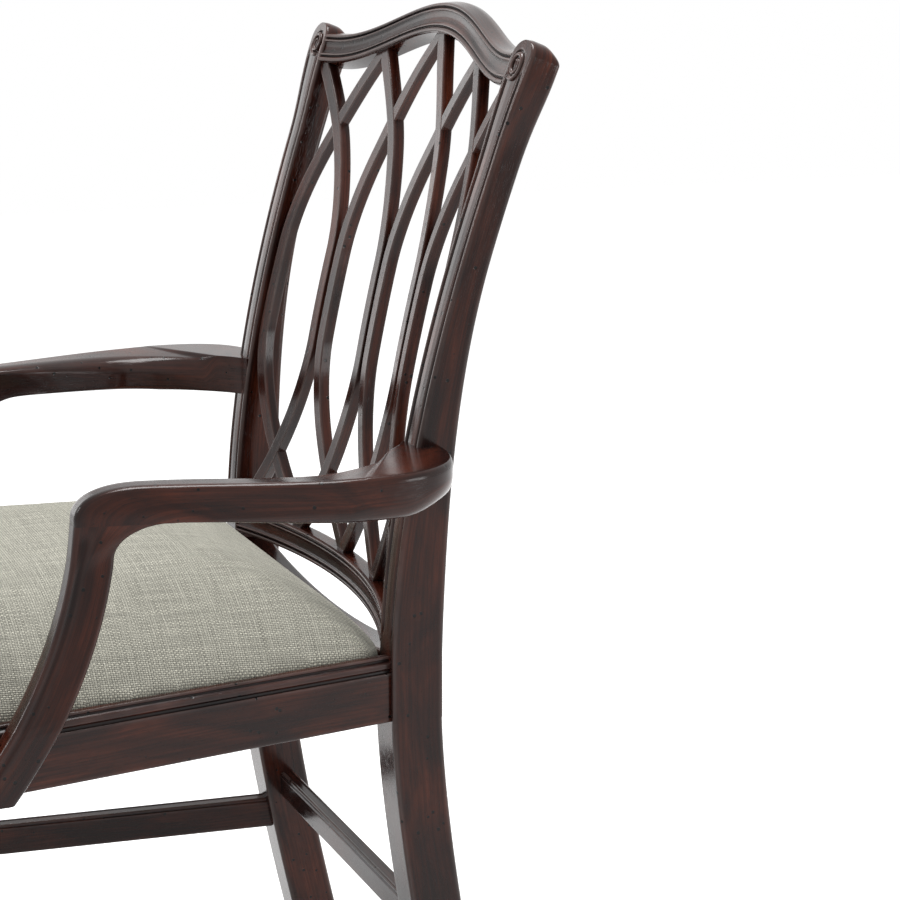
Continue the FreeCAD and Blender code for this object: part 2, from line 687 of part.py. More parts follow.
def support_blank(rail):
    """Return the left arm support, sawn to an S in side view, leaning in, notched over the rail."""
    line_y = size("back_line")
    low = size("seat_rail_bottom")
    high = size("arm_joint")
    half = size("support_depth") / 2
    flare = size("support_flare")

    def edge(heights, way):
        points = []
        for height in heights:
            slope = support_centre(height + 0.5) - support_centre(height - 0.5)
            width = half * math.hypot(slope, 1.0)
            points.append(Vector(0, line_y - support_centre(height) - way * width, height))
        return points

    heights = steps(low, high, 9)
    front = edge(heights, 1)
    rear_heights = steps(low, high - flare, 8)
    rear = edge(rear_heights, -1)
    throat = rear[-1]
    lip = Vector(0, throat.y + flare, high)
    turn = Vector(0, throat.y + flare * (1 - math.sqrt(0.5)), high - flare * (1 - math.sqrt(0.5)))
    side = [
        spline(front), line(front[-1], lip), Part.Arc(lip, turn, throat).toShape(),
        spline(rear), line(rear[0], front[0]),
    ]
    splay = math.tan(math.radians(size("side_splay")))
    seat_x = size("rail_rear_x") + support_centre(size("rail_top")) * splay
    near = line_y - size("seat_depth") * 1.5
    foot_in = Vector(seat_x - size("support_housing"), near, low)
    foot_out = Vector(seat_x + size("support_stand"), near, low)
    head_in = Vector(size("arm_front_spread") - size("arm_front_width"), near, high)
    head_out = Vector(size("arm_front_spread"), near, high)
    knee = size("rail_top")
    knee_in = Vector(foot_in.x, near, knee)
    knee_out = Vector(foot_out.x, near, knee)
    front_view = closed([foot_in, foot_out, knee_out, head_out, head_in, knee_in])
    board = prism(side, Vector(size("arm_spread") * 2, 0, 0))
    sawn = board.common(prism(front_view, Vector(0, size("seat_depth") * 2, 0)))
    return largest(sawn.cut(rail))


def cylinder(start, direction, diameter, length):
    """Return a round bar."""
    return Part.makeCylinder(diameter / 2, length, start, direction)


def screw(start, direction, length):
    """Return a wood screw: a round head and a plain shank, its head's face at start."""
    head = cylinder(start, direction, size("screw_head_diameter"), size("screw_head_height"))
    shank = cylinder(start, direction, size("screw_diameter"), length)
    return head.fuse(shank).removeSplitter()


def screw_hole(start, direction, length):
    """Return the cutter for a screw: its shank, and its head let in from outside."""
    clearance = size("joint_clearance")
    relief = size("screw_head_diameter") * 2
    outside = start - direction * relief
    bore = size("screw_head_diameter") + 2 * clearance
    head = cylinder(outside, direction, bore, relief + size("screw_head_height"))
    shank = cylinder(start, direction, size("screw_diameter") + 2 * clearance, length + clearance)
    return head.fuse(shank)


def grown_box(low, high, grow):
    """Return a block enlarged by the same amount on every side."""
    margin = Vector(grow, grow, grow)
    return box_between(low - margin, high + margin)


def seat_corner(inset, ahead):
    """Return the X of the seat outline's left side at a distance in front of the back line.

    inset is how far the outline lies inside the side rail's outer face, measured across the rail.
    """
    angle = math.radians(size("side_splay"))
    return size("rail_rear_x") + ahead * math.tan(angle) - inset / math.cos(angle)


def seat_trapezium(inset, rear_gap):
    """Return the four plan corners of an outline inside the seat rails, anticlockwise from rear left."""
    line_y = size("back_line")
    front = size("seat_depth") - size("rail_setback") - inset
    rear_x = seat_corner(inset, rear_gap)
    front_x = seat_corner(inset, front)
    return [
        Vector(rear_x, line_y - rear_gap, 0), Vector(-rear_x, line_y - rear_gap, 0),
        Vector(-front_x, line_y - front, 0), Vector(front_x, line_y - front, 0),
    ]


def rounded_section(corners, radius, draw, height):
    """Return a closed section: four sides drawn in by shallow arcs, four rounded corners."""
    count = len(corners)
    lifted = [Vector(corner.x, corner.y, height) for corner in corners]
    centre = sum(lifted, Vector(0, 0, 0)) * (1.0 / count)
    arrive, leave = [], []
    for index, corner in enumerate(lifted):
        before = lifted[index - 1]
        after = lifted[(index + 1) % count]
        arrive.append(corner + (before - corner).normalize() * radius)
        leave.append(corner + (after - corner).normalize() * radius)
    edges = []
    for index, corner in enumerate(lifted):
        after = (index + 1) % count
        opening = (arrive[index] - corner).getAngle(leave[index] - corner) / 2
        inward = (arrive[index] + leave[index] - corner * 2).normalize()
        bend = corner + inward * radius * (1 - math.sin(opening)) / math.cos(opening)
        edges.append(Part.Arc(arrive[index], bend, leave[index]).toShape())
        middle = (leave[index] + arrive[after]) * 0.5
        inward = (centre - middle).normalize()
        edges.append(Part.Arc(leave[index], middle + inward * draw, arrive[after]).toShape())
    return Part.Wire(edges)


def dome(inset, bottom, base, crown):
    """Return the cushion's crown: straight sides from bottom to base, then a full rounded top.

    The top follows a superellipse: its inset grows with the share of the crown's height.
    """
    shoulder = size("crown_shoulder")
    sections = [(bottom, 0.0)]
    for share in CROWN_SHARES:
        drawn = shoulder * (1 - math.sqrt(1 - share ** size("crown_curve")))
        sections.append((base + (crown - base) * share, drawn))
    wires = []
    for height, drawn in sections:
        corners = seat_trapezium(inset + drawn, inset + drawn - size("rail_lip"))
        shortest = (corners[1] - corners[2]).Length
        radius = min(size("cushion_corner") + drawn * CORNER_GROWTH, shortest * CORNER_LIMIT)
        wires.append(rounded_section(corners, radius, size("cushion_draw"), height))
    return one_solid(Part.makeLoft(wires, True, True))


def common_of(label, base, tool):
    """Add what two pieces share."""
    result = DOC.addObject("Part::Common", label)
    result.Base = base
    result.Tool = tool
    result.Label = label
    DOC.recompute()
    return result


def socket(feature):
    """Return the mortise for a tenon: its block grown by the joint clearance."""
    box = feature.Shape.BoundBox
    low = Vector(box.XMin, box.YMin, box.ZMin)
    high = Vector(box.XMax, box.YMax, box.ZMax)
    return grown_box(low, high, size("joint_clearance"))


def splayed(body, base_x):
    """Turn a left-hand body to the splay of the side rails about a point on the back line."""
    body.Placement.Rotation = FreeCAD.Rotation(Vector(0, 0, 1), size("side_splay"))
    body.setExpression("Placement.Base.x", base_x)
    body.setExpression("Placement.Base.y", "dims.back_line")
    body.setExpression("Placement.Rotation.Angle", "dims.side_splay * 1deg")
    DOC.recompute()
    return body


def seat_x(inset, ahead):
    """Return the expression of the seat outline's left side; see seat_corner."""
    angle = "(dims.side_splay * 1deg)"
    return "dims.rail_rear_x + (%s) * tan%s - (%s) / cos%s" % (ahead, angle, inset, angle)


def seat_y(ahead):
    """Return the expression of the Y at a distance in front of the back line."""
    return "dims.back_line - (%s)" % ahead


def negative(expression):
    """Return the expression of the opposite value."""
    return "-(%s)" % expression


def moulded_profile(outer, inward, up_from):
    """Return a seat rail's section: flat face, run moulding, lip and seat rebate.

    outer is the expression of the outer face, inward is + or -, up_from the rail's underside.
    """
    def at(depth, height):
        return ("%s %s (%s)" % (outer, inward, depth), height)

    moulding = "dims.rail_top - dims.moulding_height"
    return [
        at("0", up_from),
        at("0", moulding),
        at("dims.moulding_depth / 3", moulding),
        at("dims.moulding_depth / 3", "dims.rail_top - dims.moulding_height / 2"),
        at("dims.moulding_depth", "dims.rail_top"),
        at("dims.rail_lip", "dims.rail_top"),
        at("dims.rail_lip", "dims.ledge_height"),
        at("dims.seat_rail_thickness", "dims.ledge_height"),
        at("dims.seat_rail_thickness", up_from),
    ]


def side_rail():
    """Add the left side rail, uncut, and return it with its rear and front tenons."""
    outline = moulded_profile("0", "-", "dims.seat_rail_bottom")
    length = "dims.rail_run / cos(dims.side_splay * 1deg) + 2 * dims.seat_rail_thickness"
    bar = padded("side_rail_bar", "XZ_Plane", outline, length, "-dims.seat_rail_thickness")
    splayed(bar, "dims.rail_rear_x")
    trim = block(
        "side_rail_trim", ("0", "dims.back_line - dims.rail_run", "0"),
        ("dims.arm_spread * 2", "dims.rail_run", "dims.crest_top"))
    body = common_of("side_rail_body", bar, trim)
    low = "dims.seat_rail_bottom + dims.tenon_shoulder"
    height = "dims.seat_rail_height - dims.rebate_depth - 2 * dims.tenon_shoulder"
    length = "dims.tenon_length + dims.tenon_shoulder"
    half = "(dims.seat_rail_thickness + dims.tenon_thickness) / 2"
    rear = block(
        "side_rail_rear_tenon",
        ("dims.rail_rear_x - " + half, "dims.back_line - dims.tenon_shoulder", low),
        ("dims.tenon_thickness", length, height))
    front = block(
        "side_rail_front_tenon",
        ("dims.rail_front_x - " + half, "dims.back_line - dims.rail_run - dims.front_tenon_length", low),
        ("dims.tenon_thickness", "dims.front_tenon_length + dims.tenon_shoulder", height))
    return joined("side_rail_whole", [body, rear, front]), rear, front


def front_rail():
    """Add the front rail, uncut, and return it with its tenon bar."""
    face = "dims.back_line - dims.seat_depth + dims.rail_setback"
    outline = moulded_profile(face, "+", "dims.seat_rail_bottom")
    body = padded("front_rail_bar", "YZ_Plane", outline, "2 * dims.front_inner_x", "-dims.front_inner_x")
    tenon = block(
        "front_rail_tenon",
        ("-dims.front_inner_x - dims.front_tenon_length",
         face + " + (dims.seat_rail_thickness - dims.tenon_thickness) / 2",
         "dims.seat_rail_bottom + dims.tenon_shoulder"),
        ("2 * (dims.front_inner_x + dims.front_tenon_length)", "dims.tenon_thickness",
         "dims.seat_rail_height - dims.rebate_depth - 2 * dims.tenon_shoulder"))
    return joined("front_rail_whole", [body, tenon]), tenon


def rear_rail():
    """Add the rear rail with its hollowed top edge, uncut, and return it with its tenon bar."""
    half = size("inner_half")
    near = size("back_line")
    low = size("seat_rail_bottom")
    high = size("rail_top")
    ends = [
        Vector(-half, near, low), Vector(half, near, low),
        Vector(half, near, high), Vector(-half, near, high),
    ]
    hollow = Part.Arc(ends[2], Vector(0, near, high - size("rear_rail_dip")), ends[3]).toShape()
    outline = [line(ends[0], ends[1]), line(ends[1], ends[2]), hollow, line(ends[3], ends[0])]
    body = shaped("rear_rail_body", prism(outline, Vector(0, size("rear_rail_thickness"), 0)))
    tenon = block(
        "rear_rail_tenon",
        ("-dims.inner_half - dims.tenon_length", "dims.back_line + dims.tenon_length + dims.tenon_shoulder",
         "dims.seat_rail_bottom + dims.tenon_shoulder"),
        ("2 * (dims.inner_half + dims.tenon_length)", "dims.tenon_thickness",
         "dims.seat_rail_height - dims.rear_rail_dip - 2 * dims.tenon_shoulder"))
    return joined("rear_rail_whole", [body, tenon]), tenon


def front_leg_blank():
    """Return the left front leg: square at the rails, tapered below on its two inner sides."""
    front = size("back_line") - size("seat_depth")
    outer = size("front_outer_x")
    knee = size("seat_rail_bottom")
    squares = []
    for height, width in ((size("glide_height"), size("front_foot_width")), (knee, size("front_leg_width"))):
        squares.append(polygon_wire([
            Vector(outer, front, height), Vector(outer, front + width, height),
            Vector(outer - width, front + width, height), Vector(outer - width, front, height)]))
    taper = Part.makeLoft(squares, True, True)
    width = size("front_leg_width")
    head = box_between(Vector(outer - width, front, knee), Vector(outer, front + width, size("rail_top")))
    return one_solid(taper.fuse(head).removeSplitter())


def stretcher_profile(middle, thickness, bottom, height):
    """Return a stretcher's section, its upper edges chamfered, as expressions."""
    half = "(%s) / 2" % thickness
    top = "%s + %s" % (bottom, height)
    chamfer = "dims.stretcher_chamfer"
    return [
        ("%s - %s" % (middle, half), bottom),
        ("%s + %s" % (middle, half), bottom),
        ("%s + %s" % (middle, half), "%s - %s" % (top, chamfer)),
        ("%s + %s - %s" % (middle, half, chamfer), top),
        ("%s - %s + %s" % (middle, half, chamfer), top),
        ("%s - %s" % (middle, half), "%s - %s" % (top, chamfer)),
    ]


def side_stretcher(post, leg):
    """Add the left side stretcher between post and leg, and return it with its two tenons."""
    outline = stretcher_profile(
        "0", "dims.side_stretcher_thickness", "dims.side_stretcher_bottom", "dims.side_stretcher_height")
    run = "(dims.seat_depth - dims.front_foot_width / 2) / cos(dims.side_splay * 1deg)"
    bar = padded("side_stretcher_bar", "XZ_Plane", outline, "dims.post_depth + " + run, "-dims.post_depth")
    splayed(bar, "dims.half_rear - dims.post_width / 2")
    body = cut_from("side_stretcher_body", bar, [post, leg])
    centre = "dims.half_rear - dims.post_width / 2 - dims.tenon_thickness / 2"
    low = "dims.side_stretcher_bottom + dims.tenon_shoulder"
    height = "dims.side_stretcher_height - 2 * dims.tenon_shoulder"
    length = "dims.tenon_length + dims.tenon_shoulder"
    slope = "tan(dims.side_splay * 1deg)"
    rear = block(
        "side_stretcher_rear_tenon",
        ("%s - dims.side_stretcher_back * %s" % (centre, slope),
         "dims.back_line + dims.side_stretcher_back - dims.tenon_shoulder", low),
        ("dims.tenon_thickness", length, height))
    front = block(
        "side_stretcher_front_tenon",
        ("%s + (dims.seat_depth - dims.leg_low_width) * %s" % (centre, slope),
         "dims.back_line - dims.seat_depth + dims.leg_low_width - dims.tenon_length", low),
        ("dims.tenon_thickness", length, height))
    return joined("side_stretcher_left", [body, rear, front]), rear, front


def rear_stretcher():
    """Add the rear stretcher and return it with its tenon bar."""
    middle = "dims.back_line + dims.rear_stretcher_back + dims.post_depth / 2"
    outline = stretcher_profile(
        middle, "dims.rear_stretcher_thickness", "dims.rear_stretcher_bottom", "dims.rear_stretcher_height")
    body = padded("rear_stretcher_bar", "YZ_Plane", outline, "2 * dims.leg_inner_half", "-dims.leg_inner_half")
    tenon = block(
        "rear_stretcher_tenon",
        ("-dims.leg_inner_half - dims.tenon_length", middle + " - dims.tenon_thickness / 2",
         "dims.rear_stretcher_bottom + dims.tenon_shoulder"),
        ("2 * (dims.leg_inner_half + dims.tenon_length)", "dims.tenon_thickness",
         "dims.rear_stretcher_height - 2 * dims.tenon_shoulder"))
    return joined("rear_stretcher", [body, tenon]), tenon


def front_block():
    """Add the left front corner block, notched round the leg, and return it undrilled."""
    rail_face = "dims.seat_depth - dims.rail_setback - dims.seat_rail_thickness"
    reach = "dims.rail_run - dims.block_leg"
    outline = [
        ("dims.front_inner_x - dims.block_leg", seat_y(rail_face)),
        ("dims.front_inner_x", seat_y(rail_face)),
        ("dims.front_inner_x", seat_y("dims.rail_run")),
        (seat_x("dims.seat_rail_thickness", "dims.rail_run"), seat_y("dims.rail_run")),
        (seat_x("dims.seat_rail_thickness", reach), seat_y(reach)),
    ]
    bottom = "dims.block_top - dims.block_height"
    return padded("front_block_blank", "XY_Plane", outline, "dims.block_height", bottom)


def rear_block():
    """Add the left rear corner block, in front of the cleat, and return it undrilled."""
    reach = "dims.cleat_width + dims.block_leg"
    corner = seat_x("dims.seat_rail_thickness", "dims.cleat_width")
    outline = [
        (corner + " - dims.block_leg", seat_y("dims.cleat_width")),
        (corner, seat_y("dims.cleat_width")),
        (seat_x("dims.seat_rail_thickness", reach), seat_y(reach)),
    ]
    bottom = "dims.block_top - dims.block_height"
    return padded("rear_block_blank", "XY_Plane", outline, "dims.block_height", bottom)


def block_screw_places():
    """Return start, direction and length of the left blocks' screws, sunk behind the slanted faces."""
    leg = size("block_leg")
    sink = size("screw_head_diameter") / 2 + size("screw_head_height")
    line_y = size("back_line")
    level = size("block_top") - size("block_height") / 2
    thickness = size("seat_rail_thickness")
    rail_face = line_y - size("seat_depth") + size("rail_setback") + thickness
    run = size("rail_run")
    cleat = size("cleat_width")
    slants = [
        (Vector(size("front_inner_x") - leg, rail_face, level),
         Vector(seat_corner(thickness, run - leg), line_y - run + leg, level),
         Vector(0, -1, 0), size("block_screw_length")),
        (Vector(seat_corner(thickness, cleat) - leg, line_y - cleat, level),
         Vector(seat_corner(thickness, cleat + leg), line_y - cleat - leg, level),
         Vector(0, 1, 0), size("cleat_screw_length")),
    ]
    places = []
    for start, end, cross, length in slants:
        near = start + (end - start) * BLOCK_SCREW_SHARE
        far = end + (start - end) * BLOCK_SCREW_SHARE
        places.append((near + cross * sink, cross, length))
        places.append((far + Vector(sink, 0, 0), Vector(1, 0, 0), size("block_screw_length")))
    return places


def support_screw_places():
    """Return the start and direction of the left support's screws, heads in the rail's inner face."""
    angle = math.radians(size("side_splay"))
    outward = Vector(math.cos(angle), math.sin(angle), 0)
    places = []
    for share in (0.25, 0.5):
        height = size("seat_rail_bottom") + size("seat_rail_height") * share
        ahead = support_centre(height)
        start = Vector(seat_corner(size("seat_rail_thickness"), ahead), size("back_line") - ahead, height)
        places.append((start, outward))
    return places


def dowel_places():
    """Return the start and direction of the left arm's dowels: one into the post, one into the support."""
    length = size("dowel_length")
    level = size("arm_top") - size("arm_thickness") / 2
    beside = post_outer(level) - size("post_width") / 4
    into_post = Vector(beside, post_front(level) - size("dowel_bite"), level)
    into_support = Vector(
        size("arm_front_spread") - size("arm_front_width") / 2,
        size("back_line") - support_centre(size("arm_joint")),
        size("arm_joint") - length / 2)
    return [(into_post, Vector(0, 1, 0)), (into_support, Vector(0, 0, 1))]


def glide(x, y):
    """Return one floor glide: a disc and a pin."""
    disc = cylinder(Vector(x, y, 0), Vector(0, 0, 1), size("glide_diameter"), size("glide_height"))
    length = size("glide_height") + size("glide_pin_length")
    pin = cylinder(Vector(x, y, 0), Vector(0, 0, 1), size("glide_pin_diameter"), length)
    return one_solid(disc.fuse(pin).removeSplitter())


def pin_hole(x, y):
    """Return the cutter for a glide's pin."""
    clearance = size("joint_clearance")
    length = size("glide_height") + size("glide_pin_length") + clearance
    return cylinder(Vector(x, y, 0), Vector(0, 0, 1), size("glide_pin_diameter") + 2 * clearance, length)


def both_sides(shapes):
    """Return shapes and their mirror twins as one compound."""
    return Part.makeCompound(shapes + [mirror_shape(shape) for shape in shapes])


def webbing():
    """Return the seat webbing: straps both ways on the seat frame, woven flat into one net."""
    width = size("webbing_width")
    bottom = size("slip_frame_top")
    count = int(round(size("webbing_count")))
    ledge = size("slip_frame_width") / 2
    rear = size("frame_rear") + ledge
    front = size("frame_front") - ledge
    line_y = size("back_line")
    inset = size("frame_inset") + ledge
    net = None
    for index in range(count):
        share = (index + 0.5) / count
        ahead = rear + ledge + (front - rear - 2 * ledge) * share
        half = seat_corner(inset, ahead - width / 2)
        across = box_between(
            Vector(-half, line_y - ahead - width / 2, bottom),
            Vector(half, line_y - ahead + width / 2, bottom + size("webbing_thickness")))
        middle = seat_corner(inset + ledge, rear) * (2 * share - 1)
        along = box_between(
            Vector(middle - width / 2, line_y - front, bottom),
            Vector(middle + width / 2, line_y - rear, bottom + size("webbing_thickness")))
        net = across.fuse(along) if net is None else net.fuse(across).fuse(along)
    return one_solid(net.removeSplitter())


def slip_member(label, outline):
    """Add one member of the drop-in seat's frame."""
    return padded(label, "XY_Plane", outline, "dims.slip_frame_thickness", "dims.ledge_height")


def slip_frame():
    """Add the four members of the drop-in seat's frame and return them."""
    inset = "dims.frame_inset"
    inner = "dims.frame_inset + dims.slip_frame_width"
    corner = "dims.cushion_corner"
    members = []
    rear_member = ("slip_frame_rear", "dims.frame_rear", "+")
    front_member = ("slip_frame_front", "dims.frame_front", "-")
    for label, outside, way in (rear_member, front_member):
        inside = "%s %s dims.slip_frame_width" % (outside, way)
        bevel = "%s %s %s" % (outside, way, corner)
        edge = "%s - %s" % (seat_x(inset, outside), corner)
        right = [(edge, outside), (seat_x(inset, bevel), bevel), (seat_x(inset, inside), inside)]
        outline = [(x, seat_y(ahead)) for x, ahead in right]
        outline += [(negative(x), seat_y(ahead)) for x, ahead in reversed(right)]
        members.append(slip_member(label, outline))
    rear = "dims.frame_rear + dims.slip_frame_width"
    front = "dims.frame_front - dims.slip_frame_width"
    outline = [
        (seat_x(inset, rear), seat_y(rear)), (seat_x(inset, front), seat_y(front)),
        (seat_x(inner, front), seat_y(front)), (seat_x(inner, rear), seat_y(rear)),
    ]
    left = slip_member("slip_frame_left", outline)
    members.append(left)
    members.append(mirrored(left, "slip_frame_right"))
    return members


def dust_cover():
    """Add the thin cloth under the drop-in seat's frame."""
    inset = "dims.frame_inset + dims.slip_frame_width / 2"
    rear = "dims.frame_rear + dims.slip_frame_width / 2"
    front = "dims.frame_front - dims.slip_frame_width / 2"
    outline = [
        (seat_x(inset, rear), seat_y(rear)), (negative(seat_x(inset, rear)), seat_y(rear)),
        (negative(seat_x(inset, front)), seat_y(front)), (seat_x(inset, front), seat_y(front)),
    ]
    bottom = "dims.ledge_height - dims.dust_cover_thickness"
    return padded("dust_cover", "XY_Plane", outline, "dims.dust_cover_thickness", bottom)


def back_rail_tenon(low, height, thickness):
    """Return the low and high corners of a back rail's left tenon."""
    shoulder = size("tenon_shoulder")
    tongue = size("tenon_thickness")
    middle = low + height / 2
    inner = post_inner(middle)
    front = post_front(middle) + (thickness - tongue) / 2
    start = Vector(inner - shoulder, front, low + shoulder)
    return start, Vector(inner + size("tenon_length"), front + tongue, low + height - shoulder)


def with_tenons(rail, tenon):
    """Return a back rail with its left tenon and the tenon's twin."""
    tongue = box_between(*tenon)
    return rail.fuse(tongue).fuse(mirror_shape(tongue))


def build():
    """Model every piece and return the finished sub-parts, in the order they go together."""
    finished = []

    def keep(feature):
        finished.append(feature)
        return feature

    # Blanks that other pieces are cut to.
    post = post_blank()
    posts = [post, mirror_shape(post)]
    leg = front_leg_blank()
    post_tool = shaped("post_blank", post)
    leg_tool = shaped("leg_blank", leg)

    # Seat rails and stretchers with their tenons.
    side_whole, side_rear_tenon, side_front_tenon = side_rail()
    front_whole, front_tenon = front_rail()
    rear_whole, rear_tenon = rear_rail()
    stretcher, stretcher_rear_tenon, stretcher_front_tenon = side_stretcher(post_tool, leg_tool)
    cross_stretcher, cross_tenon = rear_stretcher()

    # Back: crest, lower rail and trellis.
    crest_low = crest_bottom(size("crest_hump"))
    crest_tenon = back_rail_tenon(crest_low, size("crest_height"), size("crest_thickness"))
    lower_tenon = back_rail_tenon(
        size("lower_rail_bottom"), size("lower_rail_height"), size("lower_rail_thickness"))
    bars, housings = trellis(posts)
    crest = with_tenons(crest_blank(), crest_tenon).cut(housings)
    lower = with_tenons(lower_rail_blank(), lower_tenon).cut(housings)

    # Arms, supports and their fastenings.
    arm = arm_blank(post)
    support = support_blank(side_whole.Shape)
    clearance = size("joint_clearance")
    dowels = []
    dowel_holes = []
    dowel_length = size("dowel_length")
    bore = size("dowel_diameter") + 2 * clearance
    for start, way in dowel_places():
        dowels.append(cylinder(start, way, size("dowel_diameter"), dowel_length))
        dowel_holes.append(cylinder(start - way * clearance, way, bore, dowel_length + 2 * clearance))
    screw_length = size("seat_rail_thickness") + size("support_screw_bite")
    support_screws = [screw(start, way, screw_length) for start, way in support_screw_places()]
    support_holes = [screw_hole(start, way, screw_length) for start, way in support_screw_places()]
    block_screws = [screw(*place) for place in block_screw_places()]
    block_holes = [screw_hole(*place) for place in block_screw_places()]

    # Rear posts with mortises, dowel holes and pin holes.
    line_y = size("back_line")
    rear_y = line_y + size("foot_back") + size("post_depth") / 2
    rear_foot = (size("half_rear") - size("leg_width") / 2, rear_y)
    half_foot = size("front_foot_width") / 2
    front_foot = (size("front_outer_x") - half_foot, line_y - size("seat_depth") + half_foot)
    cut_post = post.cut([
        socket(side_rear_tenon), socket(rear_tenon), socket(stretcher_rear_tenon), socket(cross_tenon),
        grown_box(*crest_tenon, clearance), grown_box(*lower_tenon, clearance),
        dowel_holes[0], pin_hole(*rear_foot)])
    left_post = keep(shaped("rear_post_left", one_solid(cut_post)))
    keep(mirrored(left_post, "rear_post_right"))
    keep(shaped("crest_rail", one_solid(crest.removeSplitter())))
    keep(shaped("lower_back_rail", one_solid(lower.removeSplitter())))
    for number, bar in enumerate(bars, 1):
        keep(shaped("trellis_bar_%d" % number, bar))

    # Seat rails and front legs.
    side_holes = support_holes + [block_holes[1], block_holes[3]]
    rail_holes = shaped("side_rail_holes", Part.makeCompound(side_holes))
    left_rail = keep(cut_from("side_seat_rail_left", side_whole, [rail_holes]))
    keep(mirrored(left_rail, "side_seat_rail_right"))
    front_holes = shaped("front_rail_holes", both_sides([block_holes[0]]))
    keep(cut_from("front_seat_rail", front_whole, [front_holes]))
    rear_holes = shaped("rear_rail_holes", both_sides([block_holes[2]]))
    keep(cut_from("rear_seat_rail", rear_whole, [rear_holes]))
    ledge = size("ledge_height")
    well_corners = [corner + Vector(0, 0, ledge) for corner in seat_trapezium(size("rail_lip"), 0.0)]
    well = Part.Face(polygon_wire(well_corners)).extrude(Vector(0, 0, size("seat_rail_height")))
    cut_leg = leg.cut([
        well, socket(side_front_tenon), socket(front_tenon), socket(stretcher_front_tenon),
        pin_hole(*front_foot)])
    left_leg = keep(shaped("front_leg_left", one_solid(cut_leg)))
    keep(mirrored(left_leg, "front_leg_right"))
    keep(stretcher)
    keep(mirrored(stretcher, "side_stretcher_right"))
    keep(cross_stretcher)

    # Arms on posts and supports.
    left_arm = keep(shaped("arm_left", one_solid(arm.cut(dowel_holes))))
    keep(mirrored(left_arm, "arm_right"))
    left_support = keep(shaped("arm_support_left", one_solid(support.cut(support_holes + [dowel_holes[1]]))))
    keep(mirrored(left_support, "arm_support_right"))
    keep(shaped("arm_dowels", both_sides(dowels)))
    keep(shaped("arm_support_screws", both_sides(support_screws)))

    # Corner blocks, cleat and glides.
    front_tools = shaped("front_block_holes", Part.makeCompound(block_holes[:2]))
    left_front = keep(cut_from("corner_block_front_left", front_block(), [front_tools]))
    keep(mirrored(left_front, "corner_block_front_right"))
    rear_tools = shaped("rear_block_holes", Part.makeCompound(block_holes[2:]))
    left_rear = keep(cut_from("corner_block_rear_left", rear_block(), [rear_tools]))
    keep(mirrored(left_rear, "corner_block_rear_right"))
    keep(shaped("corner_block_screws", both_sides(block_screws)))
    half_cleat = seat_x("dims.seat_rail_thickness + dims.seat_clearance", "0")
    cleat = block(
        "cleat_blank",
        (negative(half_cleat), "dims.back_line - dims.cleat_width", "dims.ledge_height - dims.cleat_height"),
        ("2 * (%s)" % half_cleat, "dims.cleat_width", "dims.cleat_height"))
    keep(cut_from("rear_seat_cleat", cleat, [rear_holes]))
    keep(shaped("floor_glides", both_sides([glide(*rear_foot), glide(*front_foot)])))

    # Drop-in seat.
    for member in slip_frame():
        keep(member)
    keep(shaped("seat_webbing", webbing()))
    frame_top = size("slip_frame_top")
    crown = frame_top + size("cushion_crown")
    foam = dome(size("foam_inset"), ledge, frame_top, crown - size("cover_thickness") - size("soft_gap"))
    wide = size("arm_spread")
    above = box_between(Vector(-wide, -wide, size("foam_bottom")), Vector(wide, wide, size("crest_top")))
    keep(shaped("seat_foam", one_solid(foam.common(above))))
    outside = dome(size("cover_inset"), ledge, frame_top, crown)
    inset = size("cover_inset") + size("cover_thickness")
    inside = dome(inset, ledge - size("cover_thickness"), frame_top, crown - size("cover_thickness"))
    keep(shaped("seat_cover", one_solid(outside.cut(inside))))
    keep(dust_cover())
    return finished


def check(features):
    """Stop if any object failed or any sub-part has no valid shape."""
    DOC.recompute()
    for item in DOC.Objects:
        for state in item.State:
            if state in ("Invalid", "Error"):
                raise RuntimeError("%s is %s" % (item.Label, state))
    for feature in features:
        if feature.Shape.isNull() or not feature.Shape.isValid():
            raise RuntimeError("%s has no valid shape" % feature.Label)


def export(features):
    """Write each sub-part to its own STEP file."""
    os.makedirs("parts", exist_ok=True)
    for feature in features:
        feature.Shape.exportStep("parts/%s.step" % feature.Label)


fill_sheet()
SUB_PARTS = build()
check(SUB_PARTS)
export(SUB_PARTS)
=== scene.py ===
"""Trellis back armchair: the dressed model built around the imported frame.

Sizes are in millimetres until a mesh is made, in the part's own frame: +Z up, front towards -Y,
origin on the floor under the middle of the chair, the sitter's left at +X.
"""

import json
import logging
import math
from dataclasses import dataclass, field
from enum import Enum

